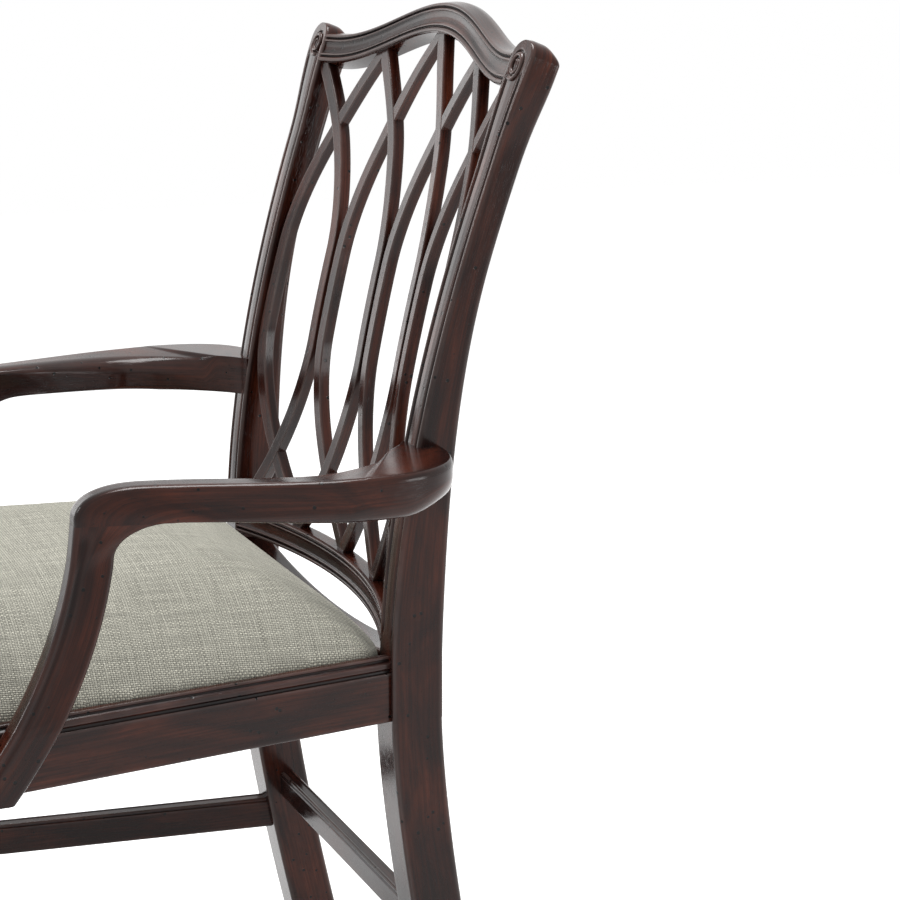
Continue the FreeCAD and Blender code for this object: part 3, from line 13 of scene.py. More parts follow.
import bpy
import numpy as np
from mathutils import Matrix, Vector

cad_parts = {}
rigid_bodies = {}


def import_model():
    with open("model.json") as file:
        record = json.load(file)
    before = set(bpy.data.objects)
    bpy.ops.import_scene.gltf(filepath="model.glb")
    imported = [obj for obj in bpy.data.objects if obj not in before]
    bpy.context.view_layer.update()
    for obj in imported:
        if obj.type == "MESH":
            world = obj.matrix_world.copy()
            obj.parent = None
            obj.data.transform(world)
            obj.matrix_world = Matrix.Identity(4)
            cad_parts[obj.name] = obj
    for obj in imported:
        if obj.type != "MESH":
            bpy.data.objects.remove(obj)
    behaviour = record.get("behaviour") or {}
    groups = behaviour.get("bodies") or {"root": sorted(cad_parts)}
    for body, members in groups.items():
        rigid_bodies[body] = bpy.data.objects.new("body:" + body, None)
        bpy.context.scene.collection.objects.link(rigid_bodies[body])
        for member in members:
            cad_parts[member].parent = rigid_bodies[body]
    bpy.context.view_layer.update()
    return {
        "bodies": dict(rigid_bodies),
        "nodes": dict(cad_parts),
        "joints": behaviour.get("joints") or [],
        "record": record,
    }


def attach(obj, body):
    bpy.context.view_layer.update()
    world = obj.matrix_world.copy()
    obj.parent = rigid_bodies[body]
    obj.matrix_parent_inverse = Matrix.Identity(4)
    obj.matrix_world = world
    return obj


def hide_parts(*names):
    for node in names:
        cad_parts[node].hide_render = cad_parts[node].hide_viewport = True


LOG = logging.getLogger("armchair")
METRE = 0.001
BACK_LINE = 140.899
RAIL_BOTTOM = 395.0
RAIL_TOP = 453.0
LEDGE = 437.0
FRAME_BODY = "chair_frame"
SEAT_BODY = "slip_seat"


class Hand(Enum):
    """The two sides of the chair, as the sitter has them."""

    LEFT = 1
    RIGHT = -1

    @property
    def word(self) -> str:
        """The side's word in node names."""
        return self.name.lower()


class Slot(Enum):
    """The record's material slots."""

    MAHOGANY = "mahogany"
    BEECH = "beech"
    STEEL = "screw_steel"
    PLASTIC = "glide_plastic"
    JUTE = "jute"
    LINEN = "linen"
    CLOTH = "black_cloth"


def smoothstep(ratio: np.ndarray) -> np.ndarray:
    """Return the smoothstep of a ratio, 3r^2 - 2r^3, held between 0 and 1."""
    held = np.clip(ratio, 0.0, 1.0)
    return held * held * (3.0 - 2.0 * held)


def spaced(line: np.ndarray, count: int, closed: bool) -> np.ndarray:
    """Return points at even distances along a line.

    Args:
        line: Points of the line, one row each.
        count: Number of points wanted.
        closed: Whether the line runs back to its first point, which is then not repeated.

    Returns:
        The new points, one row each.
    """
    path = np.vstack([line, line[:1]]) if closed else line
    walked = np.concatenate([[0.0], np.cumsum(np.linalg.norm(np.diff(path, axis=0), axis=1))])
    places = np.linspace(0.0, walked[-1], count, endpoint=not closed)
    return np.stack([np.interp(places, walked, path[:, axis]) for axis in range(path.shape[1])], axis=1)


def rounded(corners: list[tuple[float, float, float]], step: float) -> np.ndarray:
    """Return a polygon with rounded corners as an even closed line.

    Each corner is replaced by the arc that touches both its sides at the tangent length
    radius / tan(half the corner's angle), cut down where the sides are too short.

    Args:
        corners: Across, up and radius of every corner, in order.
        step: Distance between points.

    Returns:
        Points of the outline, one row each.
    """
    table = np.array(corners, float)
    points, radii = table[:, :2], table[:, 2]
    before = np.roll(points, 1, axis=0) - points
    after = np.roll(points, -1, axis=0) - points
    before_length = np.linalg.norm(before, axis=1)
    after_length = np.linalg.norm(after, axis=1)
    before /= before_length[:, None]
    after /= after_length[:, None]
    half = np.arccos(np.clip((before * after).sum(1), -1.0, 1.0)) / 2
    reach = np.minimum(radii / np.tan(half), 0.5 * np.minimum(before_length, after_length))
    share = np.linspace(0.0, 1.0, 9)[None, :, None]
    start = (points + before * reach[:, None])[:, None, :]
    end = (points + after * reach[:, None])[:, None, :]
    middle = points[:, None, :]
    weight = np.sin(half)[:, None, None]
    falling, rising = (1 - share) ** 2, share ** 2
    bend = 2 * weight * share * (1 - share)
    arcs = (falling * start + bend * middle + rising * end) / (falling + bend + rising)
    line = arcs.reshape(-1, 2)
    length = np.linalg.norm(np.roll(line, -1, axis=0) - line, axis=1).sum()
    return spaced(line, max(int(round(length / step)), 8), True)


def oblong(half: float, near: float, far: float, radius: float, step: float) -> np.ndarray:
    """Return a rounded oblong, its width either side of nought and its depth from near to far."""
    corners = [(-half, near, radius), (-half, far, radius), (half, far, radius), (half, near, radius)]
    return rounded(corners, step)


def grid(x: np.ndarray, y: np.ndarray, z: np.ndarray) -> np.ndarray:
    """Return points from three arrays that are spread against each other."""
    return np.stack(np.broadcast_arrays(x, y, z), axis=-1)


def triples(items: bpy.types.bpy_prop_collection, label: str) -> np.ndarray:
    """Return a three-number property of every item, one row each."""
    values = np.zeros(len(items) * 3, np.float32)
    items.foreach_get(label, values)
    return values.reshape(-1, 3)


def placed(name: str, data: bpy.types.ID) -> bpy.types.Object:
    """Return a new object for some data, linked to the scene."""
    made = bpy.data.objects.new(name, data)
    bpy.context.scene.collection.objects.link(made)
    return made


def aim(made: bpy.types.Object, place: tuple[float, float, float], look: Vector) -> None:
    """Place a camera or lamp so that it faces along a direction."""
    made.location = place
    made.rotation_mode = "QUATERNION"
    made.rotation_quaternion = look.to_track_quat("-Z", "Y")


def centre_walk(rings: np.ndarray) -> np.ndarray:
    """Return the distance in metres walked along the rings' centres up to each ring."""
    steps = np.linalg.norm(np.diff(rings.mean(axis=1), axis=0), axis=1)
    return np.concatenate([[0.0], np.cumsum(steps)]) * METRE


@dataclass(frozen=True)
class Moulding:
    """A run moulding, alike both ways: places up to its middle and how deep the face is cut there."""

    width: float
    places: tuple[float, ...]
    depths: tuple[float, ...]
    ease: float = 0.45

    def cut(self, across: np.ndarray) -> np.ndarray:
        """Return the depth at each place: the knots joined by lines, then averaged over the ease."""
        tracks = []
        for shift in np.linspace(-self.ease, self.ease, 7):
            place = across + shift
            tracks.append(np.interp(np.minimum(place, self.width - place), self.places, self.depths))
        return np.mean(tracks, axis=0)


@dataclass
class Bench:
    """Turns rings of points into finished pieces and keeps count of them."""

    finishes: dict[Slot, bpy.types.Material]
    count: int = 0
    recess_blur: float = 1.5
    recess_depth: float = 0.42
    wear_depth: float = 0.75
    sharp_angle: float = math.radians(38.0)
    map_step: tuple[float, float] = (0.731, 0.417)

    def shading(self, rings: np.ndarray, normal: np.ndarray) -> tuple[np.ndarray, np.ndarray]:
        """Measure hollows and arrises: each point against its ring averaged with a bell curve.

        Args:
            rings: Points as (rings, points of a ring, 3).
            normal: The outward direction at each point, of any length.

        Returns:
            The share by which each point lies in a hollow, and on an arris.
        """
        around = rings.shape[1]
        step = np.linalg.norm(np.roll(rings, -1, axis=1) - rings, axis=2).mean()
        lag = np.minimum(np.arange(around), around - np.arange(around)) * step
        bell = np.exp(-0.5 * (lag / self.recess_blur) ** 2)
        bell /= bell.sum()
        blurred = np.fft.ifft(np.fft.fft(rings, axis=1) * np.fft.fft(bell)[None, :, None], axis=1).real
        unit = normal / np.maximum(np.linalg.norm(normal, axis=2, keepdims=True), 1e-9)
        rise = ((blurred - rings) * unit).sum(2)
        # The hollow share later darkens the wood as painted shade as well as glazing; the arris share pales
        # it as a painted highlight as well as wearing.
        return np.clip(rise / self.recess_depth, 0, 1), np.clip(-rise / self.wear_depth, 0, 1)

    def tube(self, rings: np.ndarray) -> dict[str, object]:
        """Work out the faces, map and shading of one closed tube with capped ends.

        A face joins neighbouring points of neighbouring rings.  The map's u is the distance along
        the rings' centres and its v the distance round the middle ring, in metres.

        Args:
            rings: Points as (rings, points of a ring, 3), in millimetres.

        Returns:
            Points, faces, map rows, and hollow and arris shares.
        """
        count, around = rings.shape[:2]
        centres = rings.mean(axis=1, keepdims=True)
        along = np.gradient(rings, axis=0)
        across = np.roll(rings, -1, axis=1) - np.roll(rings, 1, axis=1)
        normal = np.cross(along, across)
        outward = 1.0 if (normal * (rings - centres)).sum() > 0 else -1.0
        index = np.arange(count * around).reshape(count, around)
        beside = np.roll(index, -1, axis=1)
        quads = np.stack([index[:-1], index[1:], beside[1:], beside[:-1]], axis=-1).reshape(-1, 4)
        u = centre_walk(rings)
        middle = rings[count // 2]
        girth = np.linalg.norm(np.diff(np.vstack([middle, middle[:1]]), axis=0), axis=1)
        v = np.concatenate([[0.0], np.cumsum(girth)]) * METRE
        low_u = np.broadcast_to(u[:-1, None], (count - 1, around))
        high_u = np.broadcast_to(u[1:, None], (count - 1, around))
        low_v = np.broadcast_to(v[None, :-1], (count - 1, around))
        high_v = np.broadcast_to(v[None, 1:], (count - 1, around))
        corner_u = np.stack([low_u, high_u, high_u, low_u], axis=-1).reshape(-1, 4)
        corner_v = np.stack([low_v, low_v, high_v, high_v], axis=-1).reshape(-1, 4)
        caps = [index[0], index[-1][::-1]]
        if outward < 0:
            quads, corner_u, corner_v = quads[:, ::-1], corner_u[:, ::-1], corner_v[:, ::-1]
            caps = [cap[::-1] for cap in caps]
        flat = rings.reshape(-1, 3)
        cap_map = [np.stack([flat[cap, 0] + flat[cap, 1], flat[cap, 2] + flat[cap, 1]], axis=1) * METRE
                   for cap in caps]
        recess, wear = self.shading(rings, normal * outward)
        return {
            "points": flat,
            "faces": quads.tolist() + [cap.tolist() for cap in caps],
            "map": np.vstack([np.stack([corner_u.ravel(), corner_v.ravel()], axis=1)] + cap_map),
            "recess": recess.ravel(),
            "wear": wear.ravel(),
        }

    def piece(self, name: str, *tubes: np.ndarray, follows: float = 0.0) -> bpy.types.Object:
        """Make one piece of one or more closed tubes.

        Args:
            name: The piece's name.
            tubes: Each tube's rings as (rings, points of a ring, 3), in millimetres.
            follows: Length of the piece before it, in metres, where its grain runs on from there.

        Returns:
            The new object, linked to the scene, with its map and shading attributes.
        """
        if not follows:
            self.count += 1
        shift = np.array(self.map_step) * self.count + np.array([follows, 0.0])
        points, faces, rows, recess, wear = [], [], [], [], []
        start = 0
        for rings in tubes:
            made = self.tube(rings)
            points.append(made["points"])
            faces += [[start + corner for corner in face] for face in made["faces"]]
            rows.append(made["map"])
            recess.append(made["recess"])
            wear.append(made["wear"])
            start += len(made["points"])
        mesh = bpy.data.meshes.new(name)
        mesh.from_pydata(np.vstack(points) * METRE, [], faces)
        layer = mesh.uv_layers.new(name="grain")
        layer.data.foreach_set("uv", (np.vstack(rows) + shift).astype(np.float32).ravel())
        for label, values in (("recess", recess), ("wear", wear)):
            kept = mesh.attributes.new(label, "FLOAT", "POINT")
            kept.data.foreach_set("value", np.concatenate(values).astype(np.float32))
        mesh.polygons.foreach_set("use_smooth", np.ones(len(mesh.polygons), bool))
        mesh.update()
        mesh.set_sharp_from_angle(angle=self.sharp_angle)
        return placed(name, mesh)

    def finish(self, piece: bpy.types.Object, slot: Slot, body: str, *nodes: str) -> None:
        """Dress a piece, let it ride on its body and stand for its nodes.

        Args:
            piece: The object.
            slot: The record's slot of its finish.
            body: The body that it moves with.
            nodes: The CAD nodes that it stands for.
        """
        piece.data.materials.clear()
        piece.data.materials.append(self.finishes[slot])
        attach(piece, body)
        if nodes:
            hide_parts(*nodes)
        LOG.info("%s: %d faces, rides on %s", piece.name, len(piece.data.polygons), body)

    def member(self, name: str, ending: str, *tubes: np.ndarray, follows: float = 0.0) -> None:
        """Make a wooden piece of the frame that stands for the CAD node of its name."""
        piece = self.piece(name + ending, *tubes, follows=follows)
        self.finish(piece, Slot.MAHOGANY, FRAME_BODY, name)


def mirrored(rings: np.ndarray, hand: Hand) -> np.ndarray:
    """Return left-hand rings, or their mirror image for the right hand."""
    return rings * np.array([hand.value, 1.0, 1.0])


class Graph:
    """Adds nodes to a tree and joins their sockets."""

    def __init__(self, tree: bpy.types.NodeTree) -> None:
        """Keep the tree that nodes go into."""
        self.tree = tree

    def feed(self, socket: bpy.types.NodeSocket, value: object) -> None:
        """Link an output to a socket, or set the socket's own value."""
        if isinstance(value, bpy.types.NodeSocket):
            self.tree.links.new(value, socket)
        else:
            socket.default_value = value

    def node(self, kind: str, inputs: dict | None = None, **settings: object) -> bpy.types.Node:
        """Add a node.

        Args:
            kind: The node's type name.
            inputs: Values or outputs for its inputs, by name or number.
            settings: Properties of the node itself.

        Returns:
            The new node.
        """
        made = self.tree.nodes.new(kind)
        for name, value in settings.items():
            setattr(made, name, value)
        for name, value in (inputs or {}).items():
            self.feed(made.inputs[name], value)
        return made

    def math(self, operation: str, *terms: object, clamp: bool = False) -> bpy.types.NodeSocket:
        """Return the result of a Math node on one to three terms."""
        made = self.node("ShaderNodeMath", dict(enumerate(terms)), operation=operation, use_clamp=clamp)
        return made.outputs[0]

    def scaled(self, vector: bpy.types.NodeSocket, scale: tuple[float, float, float]) -> bpy.types.NodeSocket:
        """Return a vector stretched by a Mapping node."""
        made = self.node("ShaderNodeMapping", {"Vector": vector, "Scale": scale})
        return made.outputs[0]

    def noise(self, vector: bpy.types.NodeSocket, scale: float, detail: float = 2.0,
              roughness: float = 0.5, distortion: float = 0.0) -> bpy.types.NodeSocket:
        """Return the value of a Noise texture."""
        made = self.node("ShaderNodeTexNoise", {
            "Vector": vector, "Scale": scale, "Detail": detail, "Roughness": roughness,
            "Distortion": distortion})
        return made.outputs[0]

    def ramp(self, value: bpy.types.NodeSocket, low: float, high: float) -> bpy.types.NodeSocket:
        """Return a value spread from low..high to 0..1 with soft ends."""
        made = self.node("ShaderNodeMapRange", {"Value": value, "From Min": low, "From Max": high},
                         interpolation_type="SMOOTHSTEP")
        return made.outputs[0]

    def blend(self, share: object, first: object, second: object, how: str = "MIX") -> bpy.types.NodeSocket:
        """Return two colours mixed by a share."""
        made = self.node("ShaderNodeMix", {0: share, 6: first, 7: second}, data_type="RGBA", blend_type=how)
        return made.outputs[2]

    def shaded(self, tint: bpy.types.NodeSocket, level: bpy.types.NodeSocket) -> bpy.types.NodeSocket:
        """Return a colour multiplied by a grey level."""
        grey = self.node("ShaderNodeCombineColor", {0: level, 1: level, 2: level})
        return self.blend(1.0, tint, grey.outputs[0], "MULTIPLY")


def colour(red: float, green: float, blue: float) -> tuple[float, float, float, float]:
    """Return an opaque linear colour."""
    return (red, green, blue, 1.0)


@dataclass(frozen=True)
class LacqueredWood:
    """Dark polished timber: figure, streaks, pores, dark glazing in hollows that is partly painted shade, and
    paled arrises that are partly painted highlight, partly wearing.
    """

    name: str
    deep: tuple[float, float, float, float]
    warm: tuple[float, float, float, float]
    glaze: tuple[float, float, float, float]
    rubbed: tuple[float, float, float, float]
    specular: float
    roughness: float
    follows_map: bool = True
    streak_floor: float = 0.46
    streak_gain: float = 0.62
    pore_share: float = 0.6
    pore_lift: float = -0.25
    patch_scale: float = 24.0
    patch_gloss: float = 0.16
    patch_lift: float = 0.35
    wear_share: float = 0.8
    stain_floor: float = 0.6
    stain_gain: float = 0.5
    stain_gloss: float = 0.22
    relief_strength: float = 0.22
    relief: float = 0.0006


@dataclass(frozen=True)
class WovenCloth:
    """Plain woven cloth: two thread colours, their pitch and how rough the yarn is."""

    name: str
    warp: tuple[float, float, float, float]
    weft: tuple[float, float, float, float]
    gap: tuple[float, float, float, float]
    pitch: float
    relief: float
    map_name: str
    relief_strength: float = 0.75
    tone_floor: float = 0.66
    tone_gain: float = 0.62
    roughness: float = 0.85
    specular: float = 0.12
    sheen: float = 0.12
    sheen_roughness: float = 0.5


@dataclass(frozen=True)
class PlainSurface:
    """Small fittings: one colour broken by fine noise."""

    name: str
    light: tuple[float, float, float, float]
    dark: tuple[float, float, float, float]
    metallic: float
    roughness: float


@dataclass
class Finishes:
    """Builds the shared effects once and every finish from them."""

    groups: dict[str, bpy.types.NodeTree] = field(default_factory=dict)

    def group(self, name: str, takes: dict[str, str], gives: dict[str, str]) -> Graph:
        """Start a node group with named sockets.

        Args:
            name: The group's name.
            takes: Input names and their socket types.
            gives: Output names and their socket types.

        Returns:
            A graph on the new group.
        """
        tree = bpy.data.node_groups.new(name, "ShaderNodeTree")
        for label, kind in takes.items():
            tree.interface.new_socket(label, in_out="INPUT", socket_type=kind)
        for label, kind in gives.items():
            tree.interface.new_socket(label, in_out="OUTPUT", socket_type=kind)
        self.groups[name] = tree
        return Graph(tree)

    def use(self, graph: Graph, name: str, inputs: dict) -> bpy.types.Node:
        """Place a shared group in a material."""
        return graph.node("ShaderNodeGroup", inputs, node_tree=self.groups[name])

    def make_grain(self) -> None:
        """Build the grain group: broad figure, fine streaks and pores from stretched noise."""
        graph = self.group("timber_grain", {"Along": "NodeSocketVector"}, {
            "Figure": "NodeSocketFloat", "Streak": "NodeSocketFloat", "Pore": "NodeSocketFloat"})
        taken = graph.node("NodeGroupInput").outputs["Along"]
        given = graph.node("NodeGroupOutput")
        wander = graph.noise(graph.scaled(taken, (5.0, 12.0, 12.0)), 1.0, 2.0)
        bent = graph.node("ShaderNodeVectorMath", {0: taken, 1: graph.node(
            "ShaderNodeCombineXYZ", {1: graph.math("MULTIPLY", wander, 0.012)}).outputs[0]}, operation="ADD")
        bent = bent.outputs[0]
        figure = graph.noise(graph.scaled(bent, (9.0, 30.0, 30.0)), 1.0, 3.0, 0.55, 0.6)
        streak = graph.noise(graph.scaled(bent, (9.0, 420.0, 420.0)), 1.0, 4.0, 0.6)
        pore = graph.noise(graph.scaled(bent, (90.0, 1900.0, 1900.0)), 1.0, 1.0)
        graph.feed(given.inputs["Figure"], graph.ramp(figure, 0.32, 0.95))
        graph.feed(given.inputs["Streak"], graph.ramp(streak, 0.3, 0.72))
        graph.feed(given.inputs["Pore"], graph.ramp(pore, 0.6, 0.74))

    def make_flecks(self) -> None:
        """Build the distress group: sparse small pits, the cores of scattered cells."""
        graph = self.group("distress_flecks", {"Place": "NodeSocketVector"}, {"Fleck": "NodeSocketFloat"})
        taken = graph.node("NodeGroupInput").outputs["Place"]
        given = graph.node("NodeGroupOutput")
        cells = graph.node("ShaderNodeTexVoronoi", {"Vector": taken, "Scale": 80.0, "Randomness": 1.0})
        near = graph.ramp(cells.outputs["Distance"], 0.15, 0.10)
        chosen = graph.ramp(graph.node(
            "ShaderNodeSeparateColor", {0: cells.outputs["Color"]}).outputs[0], 0.30, 0.36)
        graph.feed(given.inputs["Fleck"], graph.math("MULTIPLY", near, chosen))

    def make_weave(self) -> None:
        """Build the weave group: two crossed sets of round threads, over and under in turn.

        A square of the cloth shows warp where the sum of its column and row is even, weft where it
        is odd.  A thread's height is the sine across it, and its tone is noise drawn out along it.
        """
        graph = self.group("woven_threads", {"Map": "NodeSocketVector", "Pitch": "NodeSocketFloat"}, {
            "Height": "NodeSocketFloat", "Warp": "NodeSocketFloat", "Tone": "NodeSocketFloat",
            "Gap": "NodeSocketFloat"})
        taken = graph.node("NodeGroupInput")
        given = graph.node("NodeGroupOutput")
        wobble = graph.noise(taken.outputs["Map"], 160.0, 1.0)
        parts = graph.node("ShaderNodeSeparateXYZ", {0: taken.outputs["Map"]})
        lanes = []
        for axis in (0, 1):
            lane = graph.math("DIVIDE", parts.outputs[axis], taken.outputs["Pitch"])
            lanes.append(graph.math("ADD", lane, graph.math("MULTIPLY", wobble, 0.5)))
        rounds = [graph.math("ABSOLUTE", graph.math("SINE", graph.math("MULTIPLY", lane, math.pi)))
                  for lane in lanes]
        numbers = [graph.math("FLOOR", lane) for lane in lanes]
        turn = graph.math("PINGPONG", graph.math("ADD", *numbers), 1.0)
        warp_high = graph.math("MULTIPLY", rounds[0], graph.math("MULTIPLY_ADD", rounds[1], 0.45, 0.55))
        weft_high = graph.math("MULTIPLY", rounds[1], graph.math("MULTIPLY_ADD", rounds[0], 0.45, 0.55))
        under = graph.math("MULTIPLY", turn, warp_high)
        height = graph.math("ADD", under, graph.math(
            "MULTIPLY", graph.math("SUBTRACT", 1.0, turn), weft_high))
        warp_tone = graph.noise(graph.scaled(taken.outputs["Map"], (430.0, 14.0, 1.0)), 1.0, 2.0, 0.7)
        weft_tone = graph.noise(graph.scaled(taken.outputs["Map"], (14.0, 430.0, 1.0)), 1.0, 2.0, 0.7)
        tone = graph.math("ADD", graph.math("MULTIPLY", turn, warp_tone), graph.math(
            "MULTIPLY", graph.math("SUBTRACT", 1.0, turn), weft_tone))
        graph.feed(given.inputs["Height"], height)
        graph.feed(given.inputs["Warp"], turn)
        graph.feed(given.inputs["Tone"], graph.ramp(tone, 0.3, 0.7))
        graph.feed(given.inputs["Gap"], graph.ramp(height, 0.5, 0.12))

    def start(self, name: str) -> tuple[bpy.types.Material, Graph, bpy.types.Node]:
        """Start a material and return it with its graph and its shader."""
        material = bpy.data.materials.new(name)
        material.use_nodes = True
        graph = Graph(material.node_tree)
        return material, graph, material.node_tree.nodes["Principled BSDF"]

    def wood(self, finish: LacqueredWood) -> bpy.types.Material:
        """Make a lacquered wood.

        Args:
            finish: The wood's colours and gloss.

        Returns:
            The material.
        """
        material, graph, shader = self.start(finish.name)
        place = graph.node("ShaderNodeTexCoord").outputs["Object"]
        if finish.follows_map:
            along = graph.node("ShaderNodeUVMap", uv_map="grain").outputs[0]
            recess = graph.node("ShaderNodeAttribute", attribute_name="recess").outputs["Fac"]
            wear = graph.node("ShaderNodeAttribute", attribute_name="wear").outputs["Fac"]
        else:
            along, recess, wear = place, None, None
        grain = self.use(graph, "timber_grain", {"Along": along})
        tint = graph.blend(grain.outputs["Figure"], finish.deep, finish.warm)
        dull = graph.math("MULTIPLY_ADD", grain.outputs["Streak"], finish.streak_gain, finish.streak_floor)
        tint = graph.shaded(tint, dull)
        pore = grain.outputs["Pore"]
        tint = graph.blend(graph.math("MULTIPLY", pore, finish.pore_share), tint, finish.glaze)
        fleck = self.use(graph, "distress_flecks", {"Place": place}).outputs["Fleck"]
        hide = fleck
        patch = graph.noise(place, finish.patch_scale, 3.0, 0.6)
        least = finish.roughness - finish.patch_gloss / 2
        gloss = graph.math("MULTIPLY_ADD", patch, finish.patch_gloss, least)
        if recess is not None:
            # Painted highlight: arrises pale towards a light greyish colour, partly for real wearing of the
            # edges and partly standing in for the bright lines that lamps leave on beads.
            worn_highlight = graph.math("MULTIPLY", wear, graph.math("MULTIPLY", patch, finish.wear_share))
            tint = graph.blend(worn_highlight, tint, finish.rubbed)
            # Painted shade: hollows and grooves darken towards the dark glazing colour, partly for glazing
            # left there and partly for the shade that falls in them.
            uneven = graph.math("MULTIPLY_ADD", patch, finish.stain_gain, finish.stain_floor)
            hollow_shade_and_glazing = graph.math("MULTIPLY", recess, uneven, clamp=True)
            hide = graph.math("MAXIMUM", hollow_shade_and_glazing, fleck)
            gloss = graph.math("MULTIPLY_ADD", hollow_shade_and_glazing, finish.stain_gloss, gloss)
        # The dark glazing colour goes on pits and on hollows, the hollows' part being painted shade as well
        # as glazing.
        tint = graph.blend(hide, tint, finish.glaze)
        lift = graph.math("MULTIPLY_ADD", pore, finish.pore_lift, graph.math("MULTIPLY", fleck, -1.0))
        lift = graph.math("MULTIPLY_ADD", patch, finish.patch_lift, lift)
        bump = graph.node("ShaderNodeBump", {
            "Height": lift, "Strength": finish.relief_strength, "Distance": finish.relief})
        graph.feed(shader.inputs["Base Color"], tint)
        graph.feed(shader.inputs["Roughness"], gloss)
        graph.feed(shader.inputs["Normal"], bump.outputs[0])
        shader.inputs["Specular IOR Level"].default_value = finish.specular
        return material

    def cloth(self, finish: WovenCloth) -> bpy.types.Material:
        """Make a woven cloth.

        Args:
            finish: The threads' colours, pitch and relief.

        Returns:
            The material.
        """
        material, graph, shader = self.start(finish.name)
        source = graph.node("ShaderNodeUVMap", uv_map=finish.map_name).outputs[0]
        weave = self.use(graph, "woven_threads", {"Map": source, "Pitch": finish.pitch})
        tint = graph.blend(weave.outputs["Warp"], finish.weft, finish.warp)
        tone = graph.math("MULTIPLY_ADD", weave.outputs["Tone"], finish.tone_gain, finish.tone_floor)
        tint = graph.shaded(tint, tone)
        tint = graph.blend(weave.outputs["Gap"], tint, finish.gap)
        bump = graph.node("ShaderNodeBump", {
            "Height": weave.outputs["Height"], "Strength": finish.relief_strength, "Distance": finish.relief})
        graph.feed(shader.inputs["Base Color"], tint)
        graph.feed(shader.inputs["Normal"], bump.outputs[0])
        shader.inputs["Roughness"].default_value = finish.roughness
        shader.inputs["Specular IOR Level"].default_value = finish.specular
        shader.inputs["Sheen Weight"].default_value = finish.sheen
        shader.inputs["Sheen Roughness"].default_value = finish.sheen_roughness
        return material

    def plain(self, finish: PlainSurface) -> bpy.types.Material:
        """Make a fitting's finish.

        Args:
            finish: Its two colours, metal share and roughness.

        Returns:
            The material.
        """
        material, graph, shader = self.start(finish.name)
        place = graph.node("ShaderNodeTexCoord").outputs["Object"]
        speck = graph.noise(place, 700.0, 3.0, 0.6)
        graph.feed(shader.inputs["Base Color"], graph.blend(speck, finish.dark, finish.light))
        graph.feed(shader.inputs["Roughness"], graph.math("MULTIPLY_ADD", speck, 0.2, finish.roughness - 0.1))
        bump = graph.node("ShaderNodeBump", {"Height": speck, "Strength": 0.1, "Distance": 0.0004})
        graph.feed(shader.inputs["Normal"], bump.outputs[0])
        shader.inputs["Metallic"].default_value = finish.metallic
        return material

    def all(self) -> dict[Slot, bpy.types.Material]:
        """Build the groups, then every finish, and return the finishes by slot."""
        self.make_grain()
        self.make_flecks()
        self.make_weave()
        return {
            # Mahogany's third colour is the dark glazing, also used as painted shade in hollows; its fourth
            # is the pale edge colour, also used as a painted highlight on arrises.
            Slot.MAHOGANY: self.wood(LacqueredWood(
                "antiqued_mahogany", colour(0.0150, 0.0040, 0.0030), colour(0.118, 0.026, 0.0115),
                colour(0.0020, 0.0016, 0.0017), colour(0.190, 0.145, 0.135), 0.23, 0.17)),
            Slot.BEECH: self.wood(LacqueredWood(
                "planed_beech", colour(0.42, 0.27, 0.15), colour(0.52, 0.36, 0.21),
                colour(0.20, 0.12, 0.06), colour(0.5, 0.4, 0.3), 0.3, 0.6, False)),
            Slot.STEEL: self.plain(PlainSurface(
                "zinc_screw_steel", colour(0.62, 0.61, 0.56), colour(0.44, 0.42, 0.36), 1.0, 0.38)),
            Slot.PLASTIC: self.plain(PlainSurface(
                "dark_glide_plastic", colour(0.030, 0.027, 0.025), colour(0.016, 0.014, 0.013), 0.0, 0.5)),
            Slot.JUTE: self.cloth(WovenCloth(
                "jute_webbing", colour(0.42, 0.29, 0.15), colour(0.33, 0.22, 0.11),
                colour(0.12, 0.08, 0.04), 0.0028, 0.0008, "grain")),
            Slot.LINEN: self.cloth(WovenCloth(
                "sage_linen", colour(0.54, 0.525, 0.44), colour(0.395, 0.39, 0.335),
                colour(0.13, 0.125, 0.105), 0.0021, 0.0009, "cloth")),
            Slot.CLOTH: self.cloth(WovenCloth(
                "black_dust_cloth", colour(0.022, 0.022, 0.024), colour(0.014, 0.014, 0.015),
                colour(0.006, 0.006, 0.006), 0.0011, 0.0003, "grain")),
        }


